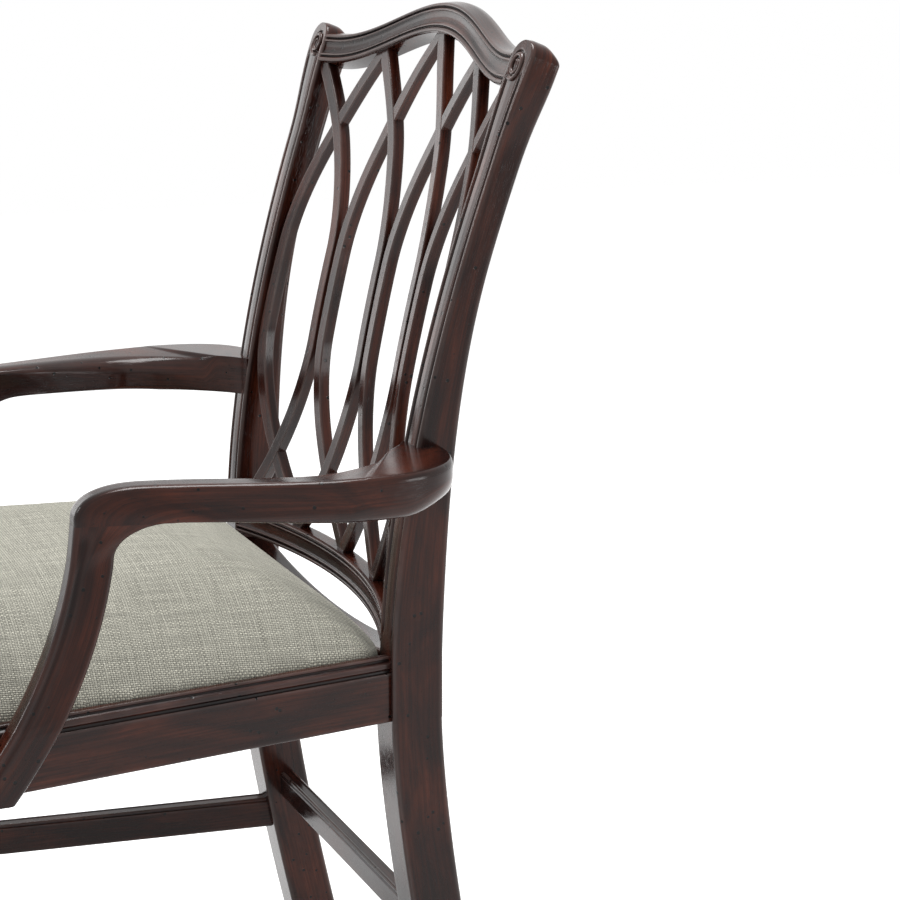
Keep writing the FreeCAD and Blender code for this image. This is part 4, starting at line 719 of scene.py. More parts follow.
@dataclass(frozen=True)
class BackPlan:
    """The lines that the back is set out from."""

    back_line: float = BACK_LINE
    rail_bottom: float = RAIL_BOTTOM
    rail_top: float = RAIL_TOP
    half_rear: float = 235.0
    post_width: float = 32.0
    leg_width: float = 42.0
    post_depth: float = 47.5
    post_depth_top: float = 27.0
    taper_height: float = 345.0
    lean: float = math.radians(2.3)
    leg_sweep: float = 62.0
    leg_curve: float = 1.5
    back_sweep: float = 112.0
    sweep_height: float = 496.0
    back_curve: float = 1.72
    top_fore: float = 4.0
    fore_start: float = 860.0
    fore_run: float = 90.0
    low_bow: float = 33.0
    crest_bow: float = 21.5
    bow_curve: float = 1.5
    crest_top: float = 998.0
    crest_low: float = 935.5
    crest_rise: float = 35.5
    crest_hump: float = 204.0
    lower_rail_top: float = 487.0

    def set_back(self, z: np.ndarray) -> np.ndarray:
        """Return how far the post's face lies behind the back line: a power curve each way."""
        z = np.asarray(z, float)
        above = np.maximum(z - self.rail_top, 0.0) / self.sweep_height
        below = np.maximum(self.rail_bottom - z, 0.0) / self.rail_bottom
        return self.back_sweep * above ** self.back_curve + self.leg_sweep * below ** self.leg_curve

    def fore(self, z: np.ndarray) -> np.ndarray:
        """Return how far the back's face comes forward of the power curve towards its top."""
        return self.top_fore * smoothstep((np.asarray(z, float) - self.fore_start) / self.fore_run)

    def front(self, z: np.ndarray) -> np.ndarray:
        """Return the Y of the post's front face at a height."""
        return self.back_line + self.set_back(z) - self.fore(z)

    def depth(self, z: np.ndarray) -> np.ndarray:
        """Return the post's depth at a height."""
        taper = smoothstep((np.asarray(z, float) - self.rail_top) / self.taper_height)
        return self.post_depth + (self.post_depth_top - self.post_depth) * taper + self.fore(z)

    def outer(self, z: np.ndarray) -> np.ndarray:
        """Return the X of the left post's outer face at a height."""
        return self.half_rear + np.maximum(np.asarray(z, float) - self.rail_top, 0.0) * math.tan(self.lean)

    def inner(self, z: np.ndarray) -> np.ndarray:
        """Return the X of the left post's inner face at a height."""
        return self.outer(z) - self.post_width

    def crest_bottom(self, x: np.ndarray) -> np.ndarray:
        """Return the height of the crest's lower edge: one wave of a cosine over flat ends."""
        ratio = np.minimum(np.abs(x) / self.crest_hump, 1.0)
        return self.crest_low + self.crest_rise * (1 + np.cos(math.pi * ratio)) / 2

    def bow(self, z: np.ndarray) -> np.ndarray:
        """Return the bow in plan at a height: a power curve from the lower rail up to the crest."""
        run = self.crest_top - self.lower_rail_top
        share = np.clip((np.asarray(z, float) - self.lower_rail_top) / run, 0, 1)
        return self.low_bow + (self.crest_bow - self.low_bow) * share ** self.bow_curve

    def bowed(self, x: np.ndarray, z: np.ndarray, behind: np.ndarray) -> np.ndarray:
        """Return the Y of the bowed back: concentric arcs through the posts' inner faces.

        Args:
            x: Across the chair.
            z: Height.
            behind: Distance behind the front arc.

        Returns:
            The Y on the arc of radius (half^2 + bow^2) / (2 bow) + behind.
        """
        half, bow = self.inner(z), self.bow(z)
        radius = (half * half + bow * bow) / (2 * bow)
        return self.front(z) + bow - radius + np.sqrt((radius + behind) ** 2 - x * x)


RAIL_BEADS = Moulding(
    27.0, (0.0, 0.7, 2.0, 3.3, 4.0, 4.5, 5.2, 5.7, 6.3, 7.2, 7.8, 8.4, 10.5, 13.5),
    (1.3, 0.3, 0.0, 0.3, 1.3, 3.0, 3.0, 1.2, 0.5, 0.5, 1.2, 2.2, 2.9, 3.2))

POST_BEADS = Moulding(
    32.0, (0.0, 1.0, 3.8, 4.6, 5.4, 7.2, 8.0, 9.5, 16.0), (0.9, 0.1, 0.1, 1.2, 2.8, 2.8, 0.9, 0.25, -0.1))


@dataclass
class RearPosts:
    """The two rear posts with moulded fronts, rounded ears and small volutes."""

    plan: BackPlan
    foot: float = 3.0
    shoulder: float = 959.0
    arris: float = 2.4
    rear_arris: float = 4.5
    step_run: float = 0.6
    face_run: float = 5.0
    edge_band: float = 6.0
    stop_low: float = 466.0
    stop_run: float = 16.0
    stop_high: float = 949.0
    stop_fade: float = 14.0
    flare: float = 9.0
    flare_start: float = 870.0
    ear_rise: float = 14.5
    ear_slope: float = 0.3
    ear_run: float = 69.0
    ear_fall: float = 0.5
    ear_dip: float = 0.06
    ear_lead: float = 0.16
    rear_pull: float = 5.0
    sink: float = 2.4
    sink_margin: float = 1.2
    sink_run: float = 1.4
    volute_shift: float = 2.0
    volute_height: float = 952.5
    volute_radius: float = 11.4
    volute_turns: float = 1.6
    volute_start: float = math.radians(-115.0)
    volute_shrink: float = 0.66
    bead: float = 1.9
    bead_lift: float = 0.2
    bead_thinning: float = 0.8
    bead_depth: float = 1.15
    eye_radius: float = 4.2
    eye_rise: float = 3.4
    eye_stretch: float = 1.45
    last_turn: float = math.radians(88.0)

    def rings(self) -> np.ndarray:
        """Return the left post's rings, foot to ear.

        A ring is the post's section at its height: x runs from the inner face, y from the front
        face, which carries the bead moulding above the seat.  Below the rails it is wider inwards.
        Towards the ear the ring tilts until it lies square to the post, and over the shoulder its
        half width shrinks with cos t while its height rises with sin t.  A disc is sunk for the volute.
        """
        plan = self.plan
        width, depth = plan.post_width, plan.post_depth
        loop = rounded([(0, 0, self.arris), (0, depth, self.rear_arris), (width, depth, self.rear_arris),
                        (width, 0, self.arris)], 0.7)
        across, behind = loop[:, 0], loop[:, 1]
        straight = np.unique(np.concatenate([
            np.linspace(self.foot, self.shoulder, 118),
            np.linspace(self.stop_low - 4, self.stop_low + 24, 24),
            np.linspace(self.shoulder - 24, self.shoulder, 33),
            [plan.rail_bottom - self.step_run, plan.rail_bottom]]))
        turns = np.linspace(0.0, self.last_turn, 22)[1:]
        z = np.concatenate([straight, np.full(len(turns), self.shoulder)])[:, None]
        turn = np.concatenate([np.zeros(len(straight)), turns])[:, None]
        spread = (plan.leg_width - width) * np.clip((plan.rail_bottom - z) / self.step_run, 0, 1)
        flared = smoothstep((z - self.flare_start) / (self.shoulder - self.flare_start))
        wide = width + spread + self.flare * flared
        x = plan.inner(z) - spread + wide * (0.5 + (across / width - 0.5) * np.cos(turn))
        stop = smoothstep((z - self.stop_low) / self.stop_run)
        stop = stop * smoothstep((self.stop_high - z) / self.stop_fade)
        face = smoothstep(1.0 - behind / self.face_run)
        moved = np.clip((behind - self.edge_band) / (depth - 2 * self.edge_band), 0, 1)
        reach = behind + (plan.depth(z) - depth) * moved
        fall = np.clip(reach / plan.depth(z), 0, 1)
        drop = 1.0 - self.ear_fall * np.clip(2 * fall - 1, 0, 1) ** 2
        drop -= self.ear_dip * np.clip(self.ear_lead - fall, 0, 1) / self.ear_lead
        tilt = self.ear_slope * smoothstep((z - self.shoulder + self.ear_run) / self.ear_run)
        height = z + self.ear_rise * np.sin(turn) * drop - tilt * reach
        away = np.hypot(x - self.volute_x(), height - self.volute_height)
        disc = self.sink * smoothstep((self.volute_radius + self.sink_margin - away) / self.sink_run)
        pulled = self.rear_pull * (1 - np.cos(turn)) * fall ** 2
        y = plan.front(height) + reach + (POST_BEADS.cut(across) * stop + disc) * face - pulled
        return grid(x, y, height)

    def volute_x(self) -> float:
        """Return the X of the left volute's middle."""
        return float(self.plan.inner(self.volute_height)) + self.plan.post_width / 2 + self.volute_shift

    def volute(self) -> np.ndarray:
        """Return the left volute: a round bead along a spiral that shrinks evenly towards its eye.

        The spiral's radius falls in a straight line with its angle, and the bead thins with it.
        """
        share = np.linspace(0.0, 1.0, 110)
        angle = self.volute_start + share * self.volute_turns * 2 * math.pi
        radius = self.volute_radius * (1 - self.volute_shrink * share)
        bead = self.bead - self.bead_thinning * share
        around = np.linspace(0.0, 2 * math.pi, 14, endpoint=False)
        out = radius[:, None] + bead[:, None] * np.cos(around)
        x = self.volute_x() + out * np.cos(angle)[:, None]
        z = self.volute_height + out * np.sin(angle)[:, None]
        y = self.plan.front(z) - self.bead_lift + bead[:, None] * np.sin(around) * self.bead_depth
        return grid(x, y, z)

    def eye(self) -> np.ndarray:
        """Return the volute's eye: a low dome, its height the root of one less its radius squared."""
        share = np.linspace(0.0, 1.0, 12)
        around = np.linspace(0.0, 2 * math.pi, 28, endpoint=False)
        size = self.eye_radius * np.cos(share * self.last_turn)
        rise = self.eye_rise * np.sin(share * self.last_turn)
        x = self.volute_x() + size[:, None] * np.cos(around)
        z = self.volute_height + self.eye_stretch * size[:, None] * np.sin(around)
        y = self.plan.front(z) + self.sink - rise[:, None]
        return grid(x, y, z)

    def build(self, bench: Bench) -> None:
        """Make both posts and their volutes."""
        for hand in Hand:
            bench.member("rear_post_" + hand.word, "_shaped", mirrored(self.rings(), hand))
            scroll = bench.piece("ear_volute_" + hand.word, mirrored(self.volute(), hand),
                                 mirrored(self.eye(), hand))
            bench.finish(scroll, Slot.MAHOGANY, FRAME_BODY)


@dataclass
class BackRails:
    """The crest rail and the lower back rail, both bowed and beaded."""

    plan: BackPlan
    crest_height: float = 27.0
    crest_thickness: float = 22.0
    lower_bottom: float = 460.0
    lower_height: float = 27.0
    lower_thickness: float = 20.0
    undercut: float = 8.6
    tuck: float = 1.2
    face_run: float = 4.0

    def crest_loop(self) -> np.ndarray:
        """Return the crest's section as height and depth: sloping underside, crown behind the face."""
        high, deep = self.crest_height, self.crest_thickness
        return rounded([(0, 0, 1.0), (-self.undercut, deep, 1.2), (high - 2.5, deep, 9.0),
                        (high, 0.6 * deep, 12.0), (high - 1.0, 0, 1.6)], 0.45)

    def lower_loop(self) -> np.ndarray:
        """Return the lower rail's section as height and depth: a block with its rear edges rounded."""
        high, deep = self.lower_height, self.lower_thickness
        return rounded([(0, 0, 1.6), (0, deep, 4.0), (high, deep, 6.5), (high, 0, 2.2)], 0.45)

    def rail(self, bottom: np.ndarray, loop: np.ndarray, height: float, share: np.ndarray) -> np.ndarray:
        """Return a rail's rings between the posts.

        The section has a beaded front.  It is carried along the line of its lower edge; x is a
        share of the posts' inner half width at each point's own height.

        Args:
            bottom: Height of the lower edge at each ring.
            loop: The section's heights and depths.
            height: The face's height.
            share: Place of each ring in half widths.

        Returns:
            The rings.
        """
        up, behind = loop[:, 0], loop[:, 1]
        z = bottom[:, None] + up
        x = share[:, None] * (self.plan.inner(z) + self.tuck)
        face = smoothstep(1.0 - behind / self.face_run)
        reach = behind + RAIL_BEADS.cut(up * RAIL_BEADS.width / height) * face
        return grid(x, self.plan.bowed(x, z, reach), z)

    def build(self, bench: Bench) -> None:
        """Make both rails."""
        share = np.linspace(-1.0, 1.0, 121)
        level = self.plan.inner(self.plan.crest_low)
        crest = self.rail(self.plan.crest_bottom(share * level), self.crest_loop(), self.crest_height, share)
        lower = self.rail(np.full(len(share), self.lower_bottom), self.lower_loop(), self.lower_height, share)
        bench.member("crest_rail", "_beaded", crest)
        bench.member("lower_back_rail", "_beaded", lower)


@dataclass
class Trellis:
    """Eight curved bars joined in pairs by a sunk web at mid height, crossing above and below."""

    plan: BackPlan
    width: float = 12.6
    depth: float = 11.0
    setback: float = 5.0
    middle: float = 716.0
    contact: float = 85.0
    gap: float = 5.4
    web_sink: float = 3.0
    web_tuck: float = 1.0
    web_arris: float = 0.4
    housing: float = 6.0
    curve: float = 1.8
    arris: float = 0.7
    lap_relief: float = 0.4
    webbed: tuple[int, ...] = (1, 3, 5, 7, 8)
    layout: tuple[tuple[float, int], ...] = (
        (-1.0, 1), (-0.5, -1), (-0.5, 1), (0.0, -1), (0.0, 1), (0.5, -1), (0.5, 1), (1.0, -1))

    def bar(self, place: float, turn: int, lower: float) -> np.ndarray:
        """Return one bar's rings.

        The centre line stands upright over the contact, and beyond it moves sideways by the pitch
        times the share of the run raised to the bar's curve.  The section is carried square to it,
        its sides towards the centre of the bow.  The end is held at the upright plane where the
        neighbour's end meets it.

        Args:
            place: The bar's place in half widths of the trellis.
            turn: The side that its ends bend to.
            lower: How far its face lies behind its partner's, so that lapped faces don't coincide.

        Returns:
            The rings.
        """
        plan = self.plan
        goal = place + turn * 0.5
        low = plan.lower_rail_top
        high = float(plan.crest_bottom(goal * plan.inner(plan.crest_top)))
        middle = self.middle
        half_contact = self.contact / 2
        middle_x = place * plan.inner(middle) + turn * (self.width + self.gap) / 2
        z = np.linspace(low - self.housing, high + self.housing, 110)
        upper = z > middle
        run = np.where(upper, high - middle - half_contact, middle - half_contact - low)
        share = np.maximum(np.abs(z - middle) - half_contact, 0.0) / run
        goal_x = goal * plan.inner(np.where(upper, high, low))
        x = middle_x + (goal_x - middle_x) * share ** self.curve
        slope = np.gradient(x, z)
        size = np.hypot(slope, 1.0)
        loop = oblong(self.width / 2, 0, self.depth, self.arris, 0.5)
        across, behind = loop[:, 0], loop[:, 1]
        point_x = x[:, None] + across / size[:, None]
        point_z = z[:, None] - across * (slope / size)[:, None]
        limit = goal * plan.inner(point_z)
        point_x = np.minimum(point_x, limit) if turn > 0 else np.maximum(point_x, limit)
        inner, bow = plan.inner(point_z), plan.bow(point_z)
        point_x = point_x * (1 + 2 * bow * behind / (inner * inner + bow * bow))
        y = plan.bowed(point_x, point_z, self.setback + lower + behind)
        return grid(point_x, y, point_z)

    def web(self, place: float) -> np.ndarray:
        """Return the rings of the web beside a place: a thin upright block sunk behind the faces."""
        plan = self.plan
        z = np.linspace(self.middle - self.contact / 2, self.middle + self.contact / 2, 24)[:, None]
        half = self.gap / 2 + self.web_tuck
        loop = oblong(half, self.web_sink, self.depth - self.web_tuck, self.web_arris, 0.7)
        x = place * plan.inner(z) + loop[:, 0]
        y = plan.bowed(x, z, self.setback + loop[:, 1])
        return grid(x, y, z)

    def build(self, bench: Bench) -> None:
        """Make the eight bars, the webs as parts of the bars beside them."""
        for number, (place, turn) in enumerate(self.layout, 1):
            tubes = [self.bar(place, turn, self.lap_relief if turn > 0 else 0.0)]
            if number in self.webbed:
                tubes.append(self.web(place))
            bench.member("trellis_bar_%d" % number, "_shaped", *tubes)


@dataclass(frozen=True)
class SeatPlan:
    """The seat's outline in plan: a trapezium wider at the front."""

    back_line: float = BACK_LINE
    rear_x: float = 230.0
    splay: float = math.radians(7.2)
    run: float = 419.0
    depth: float = 457.0
    setback: float = 5.0
    lip: float = 12.0

    def side(self, inset: np.ndarray, ahead: np.ndarray) -> np.ndarray:
        """Return the X of the left side at a distance ahead, inset across the rail."""
        return self.rear_x + ahead * math.tan(self.splay) - inset / math.cos(self.splay)

    def front_y(self) -> float:
        """Return the Y of the front rail's face."""
        return self.back_line - self.depth + self.setback

    def corners(self, inset: float) -> np.ndarray:
        """Return the plan corners of an outline inside the rails, from rear left round the back."""
        rear = inset - self.lip
        front = self.depth - self.setback - inset
        rear_x, front_x = self.side(inset, rear), self.side(inset, front)
        rear_y, front_y = self.back_line - rear, self.back_line - front
        return np.array([(rear_x, rear_y), (-rear_x, rear_y), (-front_x, front_y), (front_x, front_y)])


@dataclass
class SeatFrame:
    """Seat rails with a run moulding, front legs and stretchers."""

    plan: BackPlan
    seat: SeatPlan
    bottom: float = RAIL_BOTTOM
    top: float = RAIL_TOP
    ledge: float = LEDGE
    tuck: float = 0.6
    thickness: float = 24.0
    rear_thickness: float = 35.0
    rear_dip: float = 18.0
    rear_low: float = 40.0
    rear_still: float = 4.0
    rear_stretch: float = 30.0
    leg_width: float = 38.0
    section_side: float = 34.0
    foot_width: float = 26.0
    leg_outer: float = 290.93
    lip_heart: float = 8.0
    foot: float = 3.0
    side_low: float = 130.5
    side_high: float = 163.0
    side_width: float = 18.0
    side_base: float = 219.0
    side_back: float = 36.0
    side_short: float = 29.0
    cross_low: float = 169.0
    cross_high: float = 195.0
    cross_width: float = 16.0
    cross_tuck: float = 0.8

    def rail_section(self) -> np.ndarray:
        """Return the rail's section as depth and height: flat face, cove, bead, quirk and lip."""
        lip = self.seat.lip
        return rounded([
            (0.0, self.bottom, 1.6), (0.0, 439.2, 0.9), (2.4, 439.2, 0.5), (3.2, 441.2, 1.6),
            (1.7, 443.4, 1.2), (1.7, 447.2, 1.8), (4.8, 449.2, 0.5), (5.2, 450.4, 0.5), (4.4, 451.0, 0.6),
            (5.0, self.top, 1.0), (lip, self.top, 1.0), (lip, self.ledge, 0.4),
            (self.thickness, self.ledge, 0.8), (self.thickness, self.bottom, 1.6)], 0.6)

    def side_rail(self) -> np.ndarray:
        """Return the left side rail's rings: its section carried straight from post to front leg."""
        section = self.rail_section()
        ahead = np.linspace(-self.tuck, self.seat.run + self.tuck, 60)[:, None]
        x = self.seat.side(section[:, 0], ahead)
        y = self.seat.back_line - ahead
        return grid(x, y, section[:, 1])

    def front_rail(self) -> np.ndarray:
        """Return the front rail's rings: the same section carried straight across."""
        section = self.rail_section()
        half = self.leg_outer - self.leg_width + self.tuck
        x = np.linspace(-half, half, 70)[:, None]
        y = self.seat.front_y() + section[:, 0]
        return grid(x, y, section[:, 1])

    def rear_rail(self) -> np.ndarray:
        """Return the rear rail's rings: a block whose top edge dips along a shallow arc."""
        half = self.plan.inner(self.bottom)
        radius = (half * half + self.rear_dip ** 2) / (2 * self.rear_dip)
        x = np.linspace(-half - self.tuck, half + self.tuck, 70)[:, None]
        top = self.top - self.rear_dip + radius - np.sqrt(radius ** 2 - x * x)
        thick, high = self.rear_thickness, self.rear_low
        corners = [(0, 0, 2.0), (thick, 0, 2.5), (thick, 1, 0.0), (thick, high, 3.0), (0, high, 3.0)]
        loop = rounded(corners, 1.2)
        up = loop[:, 1]
        stretched = np.clip((up - self.rear_still) / self.rear_stretch, 0, 1)
        z = self.bottom + up + (top - self.bottom - high) * stretched
        y = self.seat.back_line + loop[:, 0]
        return grid(x, y, z)

    def leg(self) -> tuple[np.ndarray, np.ndarray]:
        """Return the left front leg's rings, and those of its lip round the seat's corner.

        The leg is a square that tapers on its two inner sides, its outer faces upright.
        """
        z = np.concatenate([np.linspace(self.foot, self.bottom, 50),
                            np.linspace(self.bottom + 1, self.ledge, 8)])
        width = self.foot_width + (self.leg_width - self.foot_width) * np.clip(
            (z - self.foot) / (self.bottom - self.foot), 0, 1)
        side = self.section_side
        loop = rounded([(0, 0, 2.2), (0, side, 1.6), (side, side, 1.6), (side, 0, 1.6)], 0.9) / side
        front = self.seat.back_line - self.seat.depth
        x = self.leg_outer - loop[:, 0] * width[:, None]
        y = front + loop[:, 1] * width[:, None]
        shaft = grid(x, y, z[:, None])
        rear = front + self.leg_width
        lip_y = self.seat.front_y() + self.seat.lip
        lip_x = [float(self.seat.side(self.seat.lip, self.seat.back_line - level)) for level in (rear, lip_y)]
        inner = self.leg_outer - self.leg_width
        ell = rounded([
            (self.leg_outer, front, 2.2), (self.leg_outer, rear, 1.6), (lip_x[0], rear, 0.6),
            (lip_x[1], lip_y, 0.6), (inner, lip_y, 0.6), (inner, front, 1.6)], 0.9)
        level = np.array([self.ledge, self.ledge + 8, self.top - 1.2, self.top - 0.4, self.top])
        shrink = np.array([0.0, 0.0, 0.0, 0.006, 0.02])[:, None, None]
        heart = np.array([self.leg_outer - self.lip_heart, front + self.lip_heart])
        spread = ell + (heart - ell) * shrink
        return shaft, grid(spread[..., 0], spread[..., 1], level[:, None])

    def stretcher_section(self, width: float, low: float, high: float) -> np.ndarray:
        """Return a stretcher's section: square below, a bead along each upper edge."""
        half = width / 2
        right = [(half, low, 1.6), (half, high - 4.2, 1.0), (half - 1.2, high - 3.4, 0.6),
                 (half - 1.0, high - 0.6, 1.6), (half - 3.6, high, 1.2), (half - 4.4, high - 1.0, 0.6)]
        left = [(-x, z, radius) for x, z, radius in right[::-1]]
        return rounded(left[-1:] + right + left[:-1], 0.7)

    def side_stretcher(self) -> np.ndarray:
        """Return the left side stretcher's rings, carried straight from post to front leg."""
        section = self.stretcher_section(self.side_width, self.side_low, self.side_high)
        ahead = np.linspace(-self.side_back, self.seat.depth - self.side_short, 60)[:, None]
        x = self.side_base + ahead * math.tan(self.seat.splay) + section[:, 0] / math.cos(self.seat.splay)
        y = self.seat.back_line - ahead
        return grid(x, y, section[:, 1])

    def rear_stretcher(self) -> np.ndarray:
        """Return the rear stretcher's rings, carried straight between the posts."""
        section = self.stretcher_section(self.cross_width, self.cross_low, self.cross_high)
        half = self.plan.half_rear - self.plan.leg_width + self.cross_tuck
        x = np.linspace(-half, half, 60)[:, None]
        middle = self.plan.front((self.cross_low + self.cross_high) / 2) + self.plan.post_depth / 2
        return grid(x, middle + section[:, 0], section[:, 1])

    def build(self, bench: Bench) -> None:
        """Make the rails, legs and stretchers."""
        bench.member("front_seat_rail", "_moulded", self.front_rail())
        bench.member("rear_seat_rail", "_moulded", self.rear_rail())
        bench.member("rear_stretcher", "_moulded", self.rear_stretcher())
        for hand in Hand:
            paired = (("side_seat_rail_", (self.side_rail(),)), ("front_leg_", self.leg()),
                      ("side_stretcher_", (self.side_stretcher(),)))
            for stem, tubes in paired:
                bench.member(stem + hand.word, "_moulded", *[mirrored(rings, hand) for rings in tubes])


@dataclass
class Arms:
    """The arms, bent round the posts, and the curved supports they roll down into."""

    plan: BackPlan
    seat: SeatPlan
    top: float = 638.0
    joint: float = 608.0
    underside: float = 600.5
    spread: float = 330.0
    elbow: float = 55.0
    elbow_width: float = 48.0
    front_spread: float = 277.0
    front_width: float = 26.0
    reach: float = 288.0
    nose: float = 280.5
    nose_curve: float = 2.6
    easing: float = 26.0
    brow: float = 218.0
    outer_curve: float = 2.6
    inner_curve: float = 1.5
    root_reveal: float = 2.5
    root_tuck: float = 5.5
    hook_reveal: float = 16.5
    lean: float = 22.0
    sweep: float = 76.0
    support_depth: float = 34.5
    stand: float = 26.0
    housing: float = 3.0
    flare: float = 31.0
    flare_run: float = 45.0
    block: float = 3.0
    stop_run: float = 14.0
    dip: float = 5.0
    hook_lift: float = 11.0
    flat_share: float = 0.62
    roll_share: float = 0.6
    root_run: float = 45.0
    hook_marks: tuple[float, float] = (4.0, 44.0)
    edge_counts: tuple[int, int, int] = (16, 14, 44)
    upper_radius: float = 6.5
    hook_radius: float = 12.5
    lower_radius: float = 9.5
    arris: float = 0.6
    inner_radius: float = 16.0
    under_radius: float = 4.0
    head_radii: tuple[tuple[float, float], ...] = ((4.0, 11.0), (5.0, 5.0))
    cove: float = 1.3
    cove_place: float = 8.5
    cove_width: float = 4.0
    cove_reach: float = 6.0
    cove_stop: float = 2.0
    cove_fade: float = 14.0

    def outer(self, ahead: np.ndarray) -> np.ndarray:
        """Return the X of the left arm's outer edge: smoothstep to the front, superellipse to the post."""
        ahead = np.asarray(ahead, float)
        fore = self.spread + (self.front_spread - self.spread) * smoothstep(
            (ahead - self.elbow) / (self.reach - self.elbow))
        root = float(self.plan.outer(self.top))
        share = np.clip((self.elbow - ahead) / (self.elbow + self.hook_end()), 0, 1)
        hook = root + (self.spread - root) * (1 - share ** self.outer_curve) ** (1 / self.outer_curve)
        return np.where(ahead >= self.elbow, fore, hook)

    def inner(self, ahead: np.ndarray) -> np.ndarray:
        """Return the X of the left arm's inner edge, eased where the bend runs into the arm."""
        ahead = np.asarray(ahead, float)
        reach = np.clip((ahead - self.block) / 2, 0.0, self.easing)
        spots = ahead[..., None] + reach[..., None] * np.linspace(-1.0, 1.0, 9)
        return self.inner_line(spots).mean(axis=-1)

    def inner_line(self, ahead: np.ndarray) -> np.ndarray:
        """Return the X of the left arm's inner line, held at the post's squared block."""
        start = self.elbow + self.plan.post_width
        share = np.clip((ahead - start) / (self.reach - start), 0, 1)
        fore = self.outer(ahead) - (self.elbow_width + (self.front_width - self.elbow_width) * share)
        root = float(self.plan.inner(self.top)) - self.root_tuck
        edge = float(self.outer(start)) - self.elbow_width
        share = np.clip((start - ahead) / (start + self.root_end()), 0, 1)
        bend = root + (edge - root) * (1 - share ** self.inner_curve) ** (1 / self.inner_curve)
        held = float(self.plan.inner(self.top)) + self.root_reveal
        return np.maximum(np.where(ahead >= start, fore, bend), held)

    def hook_end(self) -> float:
        """Return how far behind the back line the arm's outer bend ends."""
        rear = self.plan.front(self.top) + self.plan.depth(self.top)
        return float(rear - self.plan.back_line - self.hook_reveal)

    def root_end(self) -> float:
        """Return how far behind the back line the post's face lies at the arm."""
        return float(self.plan.set_back(self.top))

    def edges(self) -> tuple[np.ndarray, np.ndarray]:
        """Return the arm's inner and outer plan edges, matched point by point, post to elbow.

        Each row is x and the distance ahead of the back line.  The inner edge runs along the post's
        side, across its face and round the inner bend while the outer edge runs round the hook.
        """
        start = self.elbow + self.plan.post_width
        side = float(self.plan.outer(self.top)) - 1.0
        face = -self.root_end() - 1.0
        tail = -self.hook_end() + 0.3
        block = float(self.plan.inner(self.top)) + self.root_reveal
        bend = np.linspace(0.0, math.pi / 2, 60)
        ahead = start - (start - face - 1.0) * np.sin(bend)[::-1]
        curve = np.stack([self.inner(ahead), ahead], axis=1)
        inner = [np.array([(side, tail), (side, face)]), np.array([(side, face), (block, face)]),
                 np.vstack([[(block, face)], curve])]
        marks = (tail, *self.hook_marks, start)
        left, right = [], []
        for number, count in enumerate(self.edge_counts):
            swing = np.linspace(marks[number], marks[number + 1], 80)
            if number == 0:
                swing = tail + (marks[1] - tail) * np.linspace(0.0, 1.0, 80) ** 2
            rim = np.stack([self.outer(swing), swing], axis=1)
            skip = 0 if number == 0 else 1
            left.append(spaced(inner[number], count, False)[skip:])
            right.append(spaced(rim, count, False)[skip:])
        return np.vstack(left), np.vstack(right)

    def bent_slab(self, corners: np.ndarray, radii: np.ndarray) -> np.ndarray:
        """Carry a rounded four-sided section between four lines.

        A point is its corner moved towards the two neighbouring corners by radius (1 - sin t) and
        radius (1 - cos t), the radius held under half the section.  The straight runs between the
        rounded corners are filled with even points.

        Args:
            corners: Points of the four lines as (rings, side, level, 3).
            radii: The edges' radii as (rings, side, level).

        Returns:
            The rings.
        """
        around = ((0, 0), (1, 0), (1, 1), (0, 1))
        turn = np.linspace(0.0, math.pi / 2, 10)
        swept = [turn[::-1] if side == level else turn for side, level in around]
        angle = np.concatenate(swept)[None, :, None]
        side, level = np.repeat(np.array(around), len(turn), axis=0).T
        home = corners[:, side, level]
        across = corners[:, 1 - side, level] - home
        upward = corners[:, side, 1 - level] - home
        wide = np.maximum(np.linalg.norm(across, axis=2, keepdims=True), 1e-6)
        tall = np.maximum(np.linalg.norm(upward, axis=2, keepdims=True), 1e-6)
        radius = np.minimum(radii[:, side, level][..., None], 0.48 * np.minimum(wide, tall))
        rings = home + radius * (across / wide * (1 - np.sin(angle)) + upward / tall * (1 - np.cos(angle)))
        runs = (np.arange(1, 5) * len(turn) - 1)[:, None] + np.linspace(0.0, 1.0, 22)[1:-1]
        spots = np.sort(np.concatenate([np.arange(rings.shape[1]), runs.ravel()]))
        low = np.floor(spots).astype(int)
        part = (spots - low)[None, :, None]
        closed = np.concatenate([rings, rings[:, :1]], axis=1)
        return closed[:, low] * (1 - part) + closed[:, low + (part[0, :, 0] > 0)] * part

    def underneath(self, ahead: np.ndarray) -> np.ndarray:
        """Return the height of the arm's underside, rising a little from elbow to throat."""
        throat = self.nose - self.support_depth - self.flare_run
        share = np.clip((ahead - self.elbow) / (throat - self.elbow), 0, 1)
        return self.underside + (self.joint - self.underside) * share

